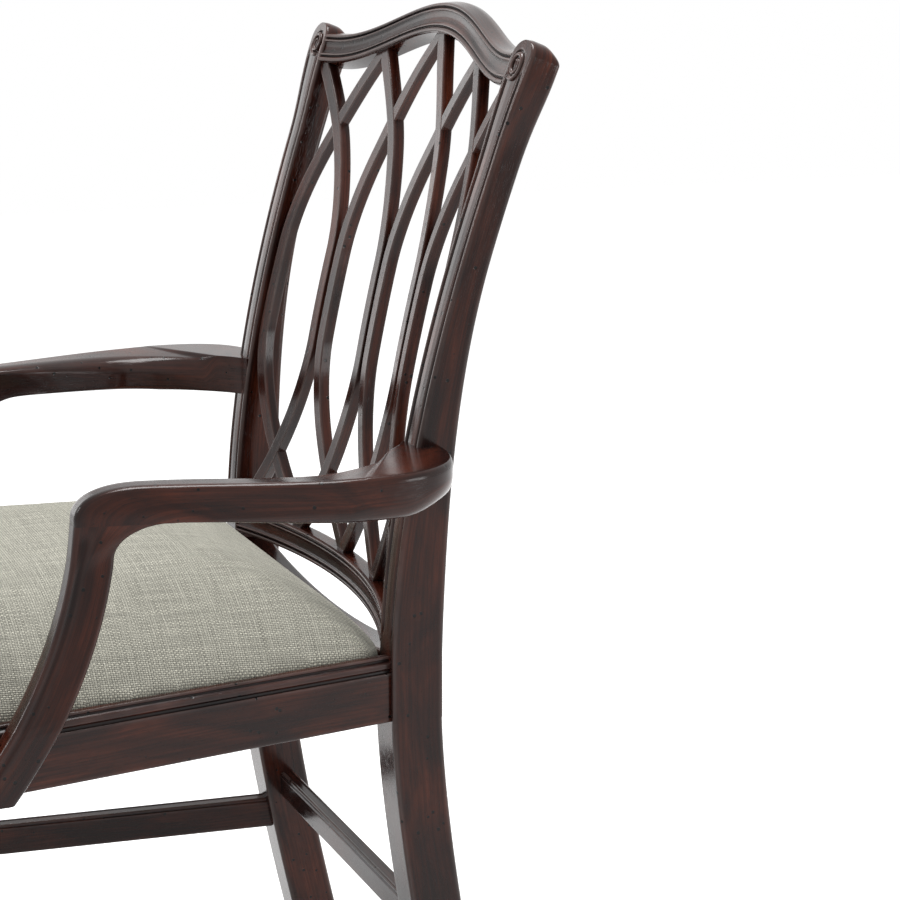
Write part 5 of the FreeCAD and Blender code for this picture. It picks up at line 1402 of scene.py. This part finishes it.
    def arm(self) -> np.ndarray:
        """Return the left arm's rings, from the hook at the post to the joint on the support.

        Along the arm the section stands upright; towards the nose its upper edge runs ahead round
        the roll, a quarter superellipse, until the section lies level on the joint.  The inner upper
        edge is dipped and well rounded up to the squared block at the post.
        """
        inner, outer = self.edges()
        line_y = self.seat.back_line
        start = self.elbow + self.plan.post_width
        throat = self.nose - self.support_depth - self.flare_run
        share = np.linspace(0.0, 1.0, 100)[1:]
        flat = self.flat_share
        over = np.clip((share - flat) / (1 - flat), 0, 1) * math.pi / 2
        upper_a = np.where(share < flat, start + (self.brow - start) * share / flat,
                           self.brow + (self.nose - self.brow) * np.sin(over) ** (2 / self.nose_curve))
        upper_z = self.joint + (self.top - self.joint) * np.cos(over).clip(0.0) ** (2 / self.nose_curve)
        lower_a = start + (throat - start) * share
        root = len(inner)
        corners = np.zeros((root + len(share), 2, 2, 3))
        for side, edge, rule in ((0, inner, self.inner), (1, outer, self.outer)):
            low, high = np.concatenate([edge[:, 1], lower_a]), np.concatenate([edge[:, 1], upper_a])
            ahead = np.stack([low, high], axis=1)
            corners[:, side, :, 0] = rule(ahead)
            corners[:root, side, :, 0] = edge[:, :1]
            corners[:, side, :, 1] = line_y - ahead
            corners[:, side, 0, 2] = self.underneath(low)
            corners[:, side, 1, 2] = np.concatenate([np.full(root, self.top), upper_z])
        rolled = smoothstep((share - self.roll_share) / (1 - self.roll_share))
        along = np.concatenate([inner[:, 1], upper_a])
        near = smoothstep(along / self.root_run)
        past = smoothstep((along - self.block) / self.stop_run)
        corners[:, 0, 1, 2] -= self.dip * past * smoothstep((self.brow - along) / (self.brow - self.elbow))
        corners[:root, 1, 0, 2] += self.hook_lift * smoothstep((self.elbow / 2 - outer[:, 1]) / self.elbow)
        radii = np.zeros((len(corners), 2, 2))
        radii[:, 1, 1] = self.upper_radius
        radii[:, 1, 0] = self.hook_radius + (self.lower_radius - self.hook_radius) * near
        radii[:, 0, 1] = self.arris + (self.inner_radius - self.arris) * past
        radii[:, 0, 0] = self.arris + (self.under_radius - self.arris) * near
        radii[root:] += (np.array(self.head_radii) - radii[root:]) * rolled[:, None, None]
        return self.bent_slab(corners, radii)

    def support_line(self, z: np.ndarray) -> np.ndarray:
        """Return how far ahead the support's middle lies at a height: a parabola."""
        share = (self.joint - z) / (self.joint - self.plan.rail_bottom)
        return self.nose - self.support_depth / 2 + self.lean * share + self.sweep * share * share

    def support(self) -> np.ndarray:
        """Return the left support's rings, from the joint under the arm to its foot on the rail.

        The front and rear lines lie half a depth either side of a parabola, square to it.  Behind
        the head the rear line flares in a quarter ellipse and spreads to the arm's own width.  A
        shallow cove follows the front edge on the outer face.
        """
        line_y = self.seat.back_line
        z = np.linspace(self.joint, self.plan.rail_bottom, 220)
        middle = self.support_line(z)
        wide = self.support_depth / 2 * np.hypot(np.gradient(middle, z), 1.0)
        front = np.stack([middle + wide, z], axis=1)
        throat = self.joint - self.flare
        rear = np.stack([middle - wide, z], axis=1)[z <= throat]
        turn = np.linspace(0.0, math.pi / 2, 40)[:-1]
        curl = np.stack([rear[0, 0] - self.flare_run * (1 - np.sin(turn)),
                         throat + self.flare * np.cos(turn)], axis=1)
        count = 110
        front, rear = spaced(front, count, False), spaced(np.vstack([curl, rear]), count, False)
        rail_top = self.plan.rail_top
        foot = self.seat.rear_x + float(self.support_line(np.array(rail_top))) * math.tan(self.seat.splay)
        corners = np.zeros((count, 2, 2, 3))
        for level, edge in ((1, front), (0, rear)):
            rise = np.clip((edge[:, 1] - rail_top) / (self.joint - rail_top), 0, 1)
            joined = smoothstep((edge[:, 1] - throat) / self.flare)
            for side, low_x, high_x, rule in (
                    (0, foot - self.housing, self.front_spread - self.front_width, self.inner),
                    (1, foot + self.stand, self.front_spread, self.outer)):
                x = low_x + (high_x - low_x) * rise
                x = x + (rule(edge[:, 0]) - x) * joined
                corners[:, side, level] = np.stack([x, line_y - edge[:, 0], edge[:, 1]], axis=1)
        radii = np.broadcast_to(np.array(self.head_radii), (count, 2, 2))
        return self.coved(self.bent_slab(corners, radii), corners)

    def coved(self, rings: np.ndarray, corners: np.ndarray) -> np.ndarray:
        """Return the support with a shallow bell-shaped cove on its outer face behind the front edge."""
        front = corners[:, 1, 1][:, None]
        away = corners[:, 1, 0][:, None] - front
        size = np.linalg.norm(away, axis=2, keepdims=True)
        behind = ((rings - front) * away / size).sum(2)
        near = smoothstep(1.0 - (front[..., 0] - rings[..., 0]) / self.cove_reach)
        fade = smoothstep((self.joint - self.cove_stop - front[..., 2]) / self.cove_fade)
        cut = rings.copy()
        cut[..., 0] -= self.cove * np.exp(-((behind - self.cove_place) / self.cove_width) ** 2) * near * fade
        return cut

    def build(self, bench: Bench) -> None:
        """Make both arms and both supports."""
        for hand in Hand:
            arm = mirrored(self.arm(), hand)
            support = mirrored(self.support(), hand)
            bench.member("arm_" + hand.word, "_shaped", arm)
            bench.member("arm_support_" + hand.word, "_shaped", support, follows=centre_walk(arm)[-1])


@dataclass
class DropInSeat:
    """The upholstered seat: a crowned cushion, webbing and a dust cover."""

    seat: SeatPlan
    inset: float = 13.5
    ledge: float = LEDGE
    frame_top: float = 455.0
    crown: float = 534.5
    shoulder: float = 140.0
    crown_curve: float = 1.2
    corner: float = 10.0
    corner_growth: float = 0.2
    corner_limit: float = 0.4
    start_drop: float = 4.0
    voxel: float = 0.005
    swell_cap: float = 0.006
    pressure: float = 4.0
    cloth_quality: int = 6
    cloth_mass: float = 0.3
    stiffness: float = 12.0
    frames: int = 20
    held_rise: float = 2.0
    let_out: float = 0.7
    least_side: float = 0.02
    frame_gap: float = 4.6
    half_member: float = 25.0
    strap_width: float = 50.0
    strap_wave: float = 0.45
    strap_thickness: float = 0.7
    strap_arris: float = 0.3
    strap_rise: float = 0.5
    straps: int = 4
    cloth_thickness: float = 0.6
    cloth_gap: float = 0.1
    cloth_sag: float = 1.2

    def outline(self, inset: float, radius: float, count: int) -> np.ndarray:
        """Return a rounded trapezium with a fixed number of points."""
        corners = self.seat.corners(inset)
        return spaced(rounded([(x, y, radius) for x, y in corners], 2.0), count, True)

    def dome(self) -> np.ndarray:
        """Return the unswollen cushion's rings.

        Straight sides stand on the rails' ledge.  Above the frame the inset grows by
        shoulder (1 - sqrt(1 - share^curve)) with the share of the crown's height.
        """
        crown = self.crown - self.start_drop
        share = np.sin(np.linspace(0.0, math.pi / 2, 30))
        drawn = self.shoulder * (1 - np.sqrt(np.maximum(1 - share ** self.crown_curve, 0.0)))
        heights = np.concatenate([[self.ledge + 0.4, self.ledge + 6, self.frame_top - 6],
                                  self.frame_top + (crown - self.frame_top) * share])
        insets = np.concatenate([np.zeros(3), drawn])
        rings = []
        for height, extra in zip(heights, insets):
            corners = self.seat.corners(self.inset + extra)
            shortest = np.linalg.norm(corners[1] - corners[2])
            radius = min(self.corner + extra * self.corner_growth, shortest * self.corner_limit)
            ring = self.outline(self.inset + extra + 0.2, radius, 240)
            rings.append(np.column_stack([ring, np.full(len(ring), height)]))
        return np.array(rings)

    def swollen(self, piece: bpy.types.Object) -> None:
        """Inflate the cushion by cloth simulation and keep the result in its mesh.

        Args:
            piece: The remeshed cushion; its lowest band is held by the frame.
        """
        mesh = piece.data
        rest = triples(mesh.vertices, "co")
        held = piece.vertex_groups.new(name="held")
        low = np.flatnonzero(rest[:, 2] < (self.frame_top + self.held_rise) * METRE)
        held.add(low.tolist(), 1.0, "REPLACE")
        cloth = piece.modifiers.new("swell", "CLOTH")
        cloth.settings.quality = self.cloth_quality
        cloth.settings.mass = self.cloth_mass
        cloth.settings.tension_stiffness = self.stiffness
        cloth.settings.compression_stiffness = self.stiffness
        cloth.settings.use_pressure = True
        cloth.settings.uniform_pressure_force = self.pressure
        cloth.settings.effector_weights.gravity = 0.0
        cloth.settings.vertex_group_mass = "held"
        cloth.point_cache.frame_start = 1
        cloth.point_cache.frame_end = self.frames
        scene = bpy.context.scene
        for frame in range(1, self.frames + 1):
            scene.frame_set(frame)
        seen = piece.evaluated_get(bpy.context.evaluated_depsgraph_get())
        moved = triples(seen.data.vertices, "co")
        piece.modifiers.remove(cloth)
        piece.vertex_groups.remove(held)
        scene.frame_set(1)
        step = moved - rest
        size = np.maximum(np.linalg.norm(step, axis=1, keepdims=True), 1e-9)
        rest += step * np.minimum(1.0, self.swell_cap / size)
        mesh.vertices.foreach_set("co", rest.ravel())
        mesh.update()

    def mapped(self, mesh: bpy.types.Mesh) -> None:
        """Give the cloth its map: x and y, let out by the share of the drop that each side covers.

        Args:
            mesh: The finished cushion.
        """
        points, normals = triples(mesh.vertices, "co"), triples(mesh.vertex_normals, "vector")
        drop = points[:, 2].max() - points[:, 2]
        sides = normals[:, :2] ** 2
        share = sides / np.maximum(sides.sum(1, keepdims=True), self.least_side)
        flat = points[:, :2] + np.sign(points[:, :2]) * share * drop[:, None] * self.let_out
        corner = np.zeros(len(mesh.loops), np.int32)
        mesh.loops.foreach_get("vertex_index", corner)
        layer = mesh.uv_layers.new(name="cloth")
        layer.data.foreach_set("uv", flat[corner].astype(np.float32).ravel())

    def cushion(self, bench: Bench) -> bpy.types.Object:
        """Make the cushion: a dome, remeshed, swollen, smoothed and divided once."""
        blank = bench.piece("seat_cushion_blank", self.dome())
        remesh = blank.modifiers.new("voxels", "REMESH")
        remesh.mode = "VOXEL"
        remesh.voxel_size = self.voxel
        bpy.context.view_layer.update()
        seen = blank.evaluated_get(bpy.context.evaluated_depsgraph_get())
        mesh = bpy.data.meshes.new_from_object(seen)
        bpy.data.objects.remove(blank)
        made = placed("seat_cushion", mesh)
        self.swollen(made)
        smooth = made.modifiers.new("ease", "SMOOTH")
        smooth.factor = 0.5
        smooth.iterations = 6
        divide = made.modifiers.new("divide", "SUBSURF")
        divide.levels = 1
        divide.render_levels = 1
        bpy.context.view_layer.update()
        seen = made.evaluated_get(bpy.context.evaluated_depsgraph_get())
        done = bpy.data.meshes.new_from_object(seen)
        made.modifiers.clear()
        made.data = done
        done.name = "seat_cushion"
        while done.uv_layers:
            done.uv_layers.remove(done.uv_layers[0])
        done.polygons.foreach_set("use_smooth", np.ones(len(done.polygons), bool))
        self.mapped(done)
        return made

    def webbing(self) -> list[np.ndarray]:
        """Return the straps' rings: flat bands both ways, lifted over and under by a cosine."""
        wide, thick, arris = self.strap_width / 2, self.strap_thickness, self.strap_arris
        corners = [(-wide, 0, arris), (wide, 0, arris), (wide, thick, arris), (-wide, thick, arris)]
        loop = rounded(corners, 2.5)
        ledge = self.half_member
        edge = self.inset + self.frame_gap
        rear = edge - self.seat.lip + ledge
        front = self.seat.depth - self.seat.setback - edge - ledge
        tubes = []
        for number in range(self.straps):
            share = (number + 0.5) / self.straps
            ahead = rear + ledge + (front - rear - 2 * ledge) * share
            half = float(self.seat.side(edge + ledge, ahead - wide))
            run = np.linspace(-half, half, 60)[:, None]
            wave = self.strap_wave * np.cos(run / half * math.pi * self.straps + math.pi * number)
            base = self.frame_top + self.strap_rise + wave
            y = self.seat.back_line - ahead + loop[:, 0]
            tubes.append(grid(run, y, base + loop[:, 1]))
            middle = float(self.seat.side(edge + 2 * ledge, rear)) * (2 * share - 1)
            run = np.linspace(rear, front, 60)[:, None]
            turn = (run - rear) / (front - rear) * math.pi * self.straps
            wave = self.strap_wave * np.cos(turn + math.pi * number)
            x = middle + loop[:, 0]
            base = self.frame_top + self.strap_rise - wave
            tubes.append(grid(x, self.seat.back_line - run, base + loop[:, 1]))
        return tubes

    def dust_cover(self) -> tuple[np.ndarray, tuple[float, float], float]:
        """Return the dust cover's rings, its flat size and its flat area.

        The cloth is a thin trapezium stretched under the frame, with a slight sag between its edges.
        """
        corners = self.seat.corners(self.inset + self.frame_gap + self.half_member)
        rear_x, front_x = corners[0, 0], corners[3, 0]
        rear_y, front_y = corners[0, 1], corners[3, 1]
        y = np.linspace(rear_y, front_y, 40)[:, None]
        place = (rear_y - y) / (rear_y - front_y)
        half = rear_x + (front_x - rear_x) * place
        share = np.linspace(-1.0, 1.0, 50)
        over = np.concatenate([share, share[::-1]])
        lift = np.concatenate([np.zeros(50), np.full(50, -self.cloth_thickness)])
        sag = self.cloth_sag * (1 - over ** 2) * np.sin(math.pi * place)
        z = self.ledge - self.cloth_gap + lift - sag
        rings = grid(half * over, y, z)
        length = (rear_y - front_y) * METRE
        return rings, (2 * front_x * METRE, length), (rear_x + front_x) * METRE * length

    def build(self, bench: Bench) -> None:
        """Make the cushion, the webbing and the dust cover."""
        pad = self.cushion(bench)
        bench.finish(pad, Slot.LINEN, SEAT_BODY, "seat_cover", "seat_foam")
        straps = bench.piece("seat_webbing_straps", *self.webbing())
        bench.finish(straps, Slot.JUTE, SEAT_BODY, "seat_webbing")
        rings, flat, area = self.dust_cover()
        under = bench.piece("dust_cover_cloth", rings)
        bench.finish(under, Slot.CLOTH, SEAT_BODY, "dust_cover")


@dataclass
class Fittings:
    """The CAD nodes that stay: blocks, cleat, seat frame members, screws, dowels and glides."""

    nodes: dict[str, bpy.types.Object]
    weld: float = 0.00001
    sharp: float = math.radians(35.0)
    bevels: tuple[tuple[str, Slot, float], ...] = (
        ("corner_block_front_left", Slot.BEECH, 0.8), ("corner_block_front_right", Slot.BEECH, 0.8),
        ("corner_block_rear_left", Slot.BEECH, 0.8), ("corner_block_rear_right", Slot.BEECH, 0.8),
        ("rear_seat_cleat", Slot.BEECH, 0.8), ("slip_frame_rear", Slot.BEECH, 1.2),
        ("slip_frame_front", Slot.BEECH, 1.2), ("slip_frame_left", Slot.BEECH, 1.2),
        ("slip_frame_right", Slot.BEECH, 1.2), ("arm_dowels", Slot.BEECH, 0.4),
        ("arm_support_screws", Slot.STEEL, 0.3), ("corner_block_screws", Slot.STEEL, 0.3),
        ("floor_glides", Slot.PLASTIC, 0.6))

    def build(self, finishes: dict[Slot, bpy.types.Material]) -> None:
        """Soften each node's edges and give it its finish."""
        for name, slot, width in self.bevels:
            node = self.nodes[name]
            joined = node.modifiers.new("weld", "WELD")
            joined.merge_threshold = self.weld
            eased = node.modifiers.new("ease", "BEVEL")
            eased.width = width * METRE
            eased.segments = 2
            eased.limit_method = "ANGLE"
            eased.angle_limit = self.sharp
            node.data.materials.clear()
            node.data.materials.append(finishes[slot])
            LOG.info("%s: kept, %s", name, slot.value)


@dataclass
class Studio:
    """The white room: camera, floor, world and soft lamps."""

    eye: tuple[float, float, float] = (1.92594, -0.52668, 1.04446)
    azimuth: float = math.radians(66.919)
    tilt: float = math.radians(12.651)
    lens: float = 89.13
    sensor: float = 36.0
    ambient: float = 0.5
    floor_size: float = 14.0
    floor_tone: float = 0.86
    floor_glow: float = 0.64
    target: tuple[float, float, float] = (0.0, 0.0, 0.55)
    lamps: tuple[tuple[str, tuple[float, float, float], float, float], ...] = (
        ("overhead", (-0.3, 0.2, 2.9), 1.1, 56.0), ("front_left", (-0.8, -2.6, 1.9), 0.8, 24.0),
        ("behind_right", (2.0, 2.1, 0.75), 0.9, 20.0), ("left", (-2.4, -0.8, 1.0), 1.3, 8.0))

    def camera(self) -> None:
        """Place the camera: a straight look along the azimuth, tilted down."""
        data = bpy.data.cameras.new("camera")
        data.lens = self.lens
        data.sensor_width = self.sensor
        data.clip_end = 100.0
        made = placed("camera", data)
        level = math.cos(self.tilt)
        aim(made, self.eye, Vector((
            -math.sin(self.azimuth) * level, math.cos(self.azimuth) * level, -math.sin(self.tilt))))
        bpy.context.scene.camera = made

    def seen_directly(self, graph: Graph) -> bpy.types.NodeSocket:
        """Return one for camera, glossy and transmission rays, and none for the rest."""
        path = graph.node("ShaderNodeLightPath")
        either = graph.math("MAXIMUM", path.outputs["Is Camera Ray"], path.outputs["Is Glossy Ray"])
        return graph.math("MAXIMUM", either, path.outputs["Is Transmission Ray"])

    def world(self) -> None:
        """Make the world: white where it is seen, a plain grey where it lights."""
        made = bpy.data.worlds.new("white_room")
        made.use_nodes = True
        graph = Graph(made.node_tree)
        made.node_tree.nodes.clear()
        shown = graph.node("ShaderNodeBackground", {"Color": colour(1, 1, 1), "Strength": 1.0})
        lit = graph.node("ShaderNodeBackground", {"Color": colour(1, 1, 1), "Strength": self.ambient})
        mix = graph.node("ShaderNodeMixShader", {
            0: self.seen_directly(graph), 1: lit.outputs[0], 2: shown.outputs[0]})
        graph.node("ShaderNodeOutputWorld", {"Surface": mix.outputs[0]})
        bpy.context.scene.world = made

    def floor(self) -> None:
        """Lay the floor: pale, glowing a little where it is seen, so that only the shadow shows."""
        half = self.floor_size / 2
        mesh = bpy.data.meshes.new("floor")
        corners = [(-half, -half, 0), (half, -half, 0), (half, half, 0), (-half, half, 0)]
        mesh.from_pydata(corners, [], [(0, 1, 2, 3)])
        made = placed("floor", mesh)
        material = bpy.data.materials.new("pale_floor")
        material.use_nodes = True
        graph = Graph(material.node_tree)
        material.node_tree.nodes.clear()
        matt = graph.node("ShaderNodeBsdfDiffuse", {"Color": colour(*[self.floor_tone] * 3)})
        glow = graph.node("ShaderNodeEmission", {
            "Color": colour(1, 1, 1),
            "Strength": graph.math("MULTIPLY", self.seen_directly(graph), self.floor_glow)})
        both = graph.node("ShaderNodeAddShader", {0: matt.outputs[0], 1: glow.outputs[0]})
        graph.node("ShaderNodeOutputMaterial", {"Surface": both.outputs[0]})
        mesh.materials.append(material)

    def lamp(self, name: str, place: tuple[float, float, float], size: float, power: float) -> None:
        """Hang a square soft lamp that faces the seat."""
        data = bpy.data.lights.new(name, "AREA")
        data.size = size
        data.energy = power
        aim(placed(name, data), place, Vector(self.target) - Vector(place))

    def build(self) -> None:
        """Make the whole room."""
        self.camera()
        self.world()
        self.floor()
        for name, place, size, power in self.lamps:
            self.lamp(name, place, size, power)
        bpy.context.scene.view_settings.view_transform = "Standard"


def main() -> None:
    """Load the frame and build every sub-assembly in order."""
    logging.basicConfig(level=logging.INFO, format="%(message)s")
    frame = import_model()
    finishes = Finishes().all()
    bench = Bench(finishes)
    plan, seat = BackPlan(), SeatPlan()
    Studio().build()
    RearPosts(plan).build(bench)
    BackRails(plan).build(bench)
    Trellis(plan).build(bench)
    SeatFrame(plan, seat).build(bench)
    Arms(plan, seat).build(bench)
    DropInSeat(seat).build(bench)
    Fittings(frame["nodes"]).build(finishes)


if __name__ == "__main__":
    main()
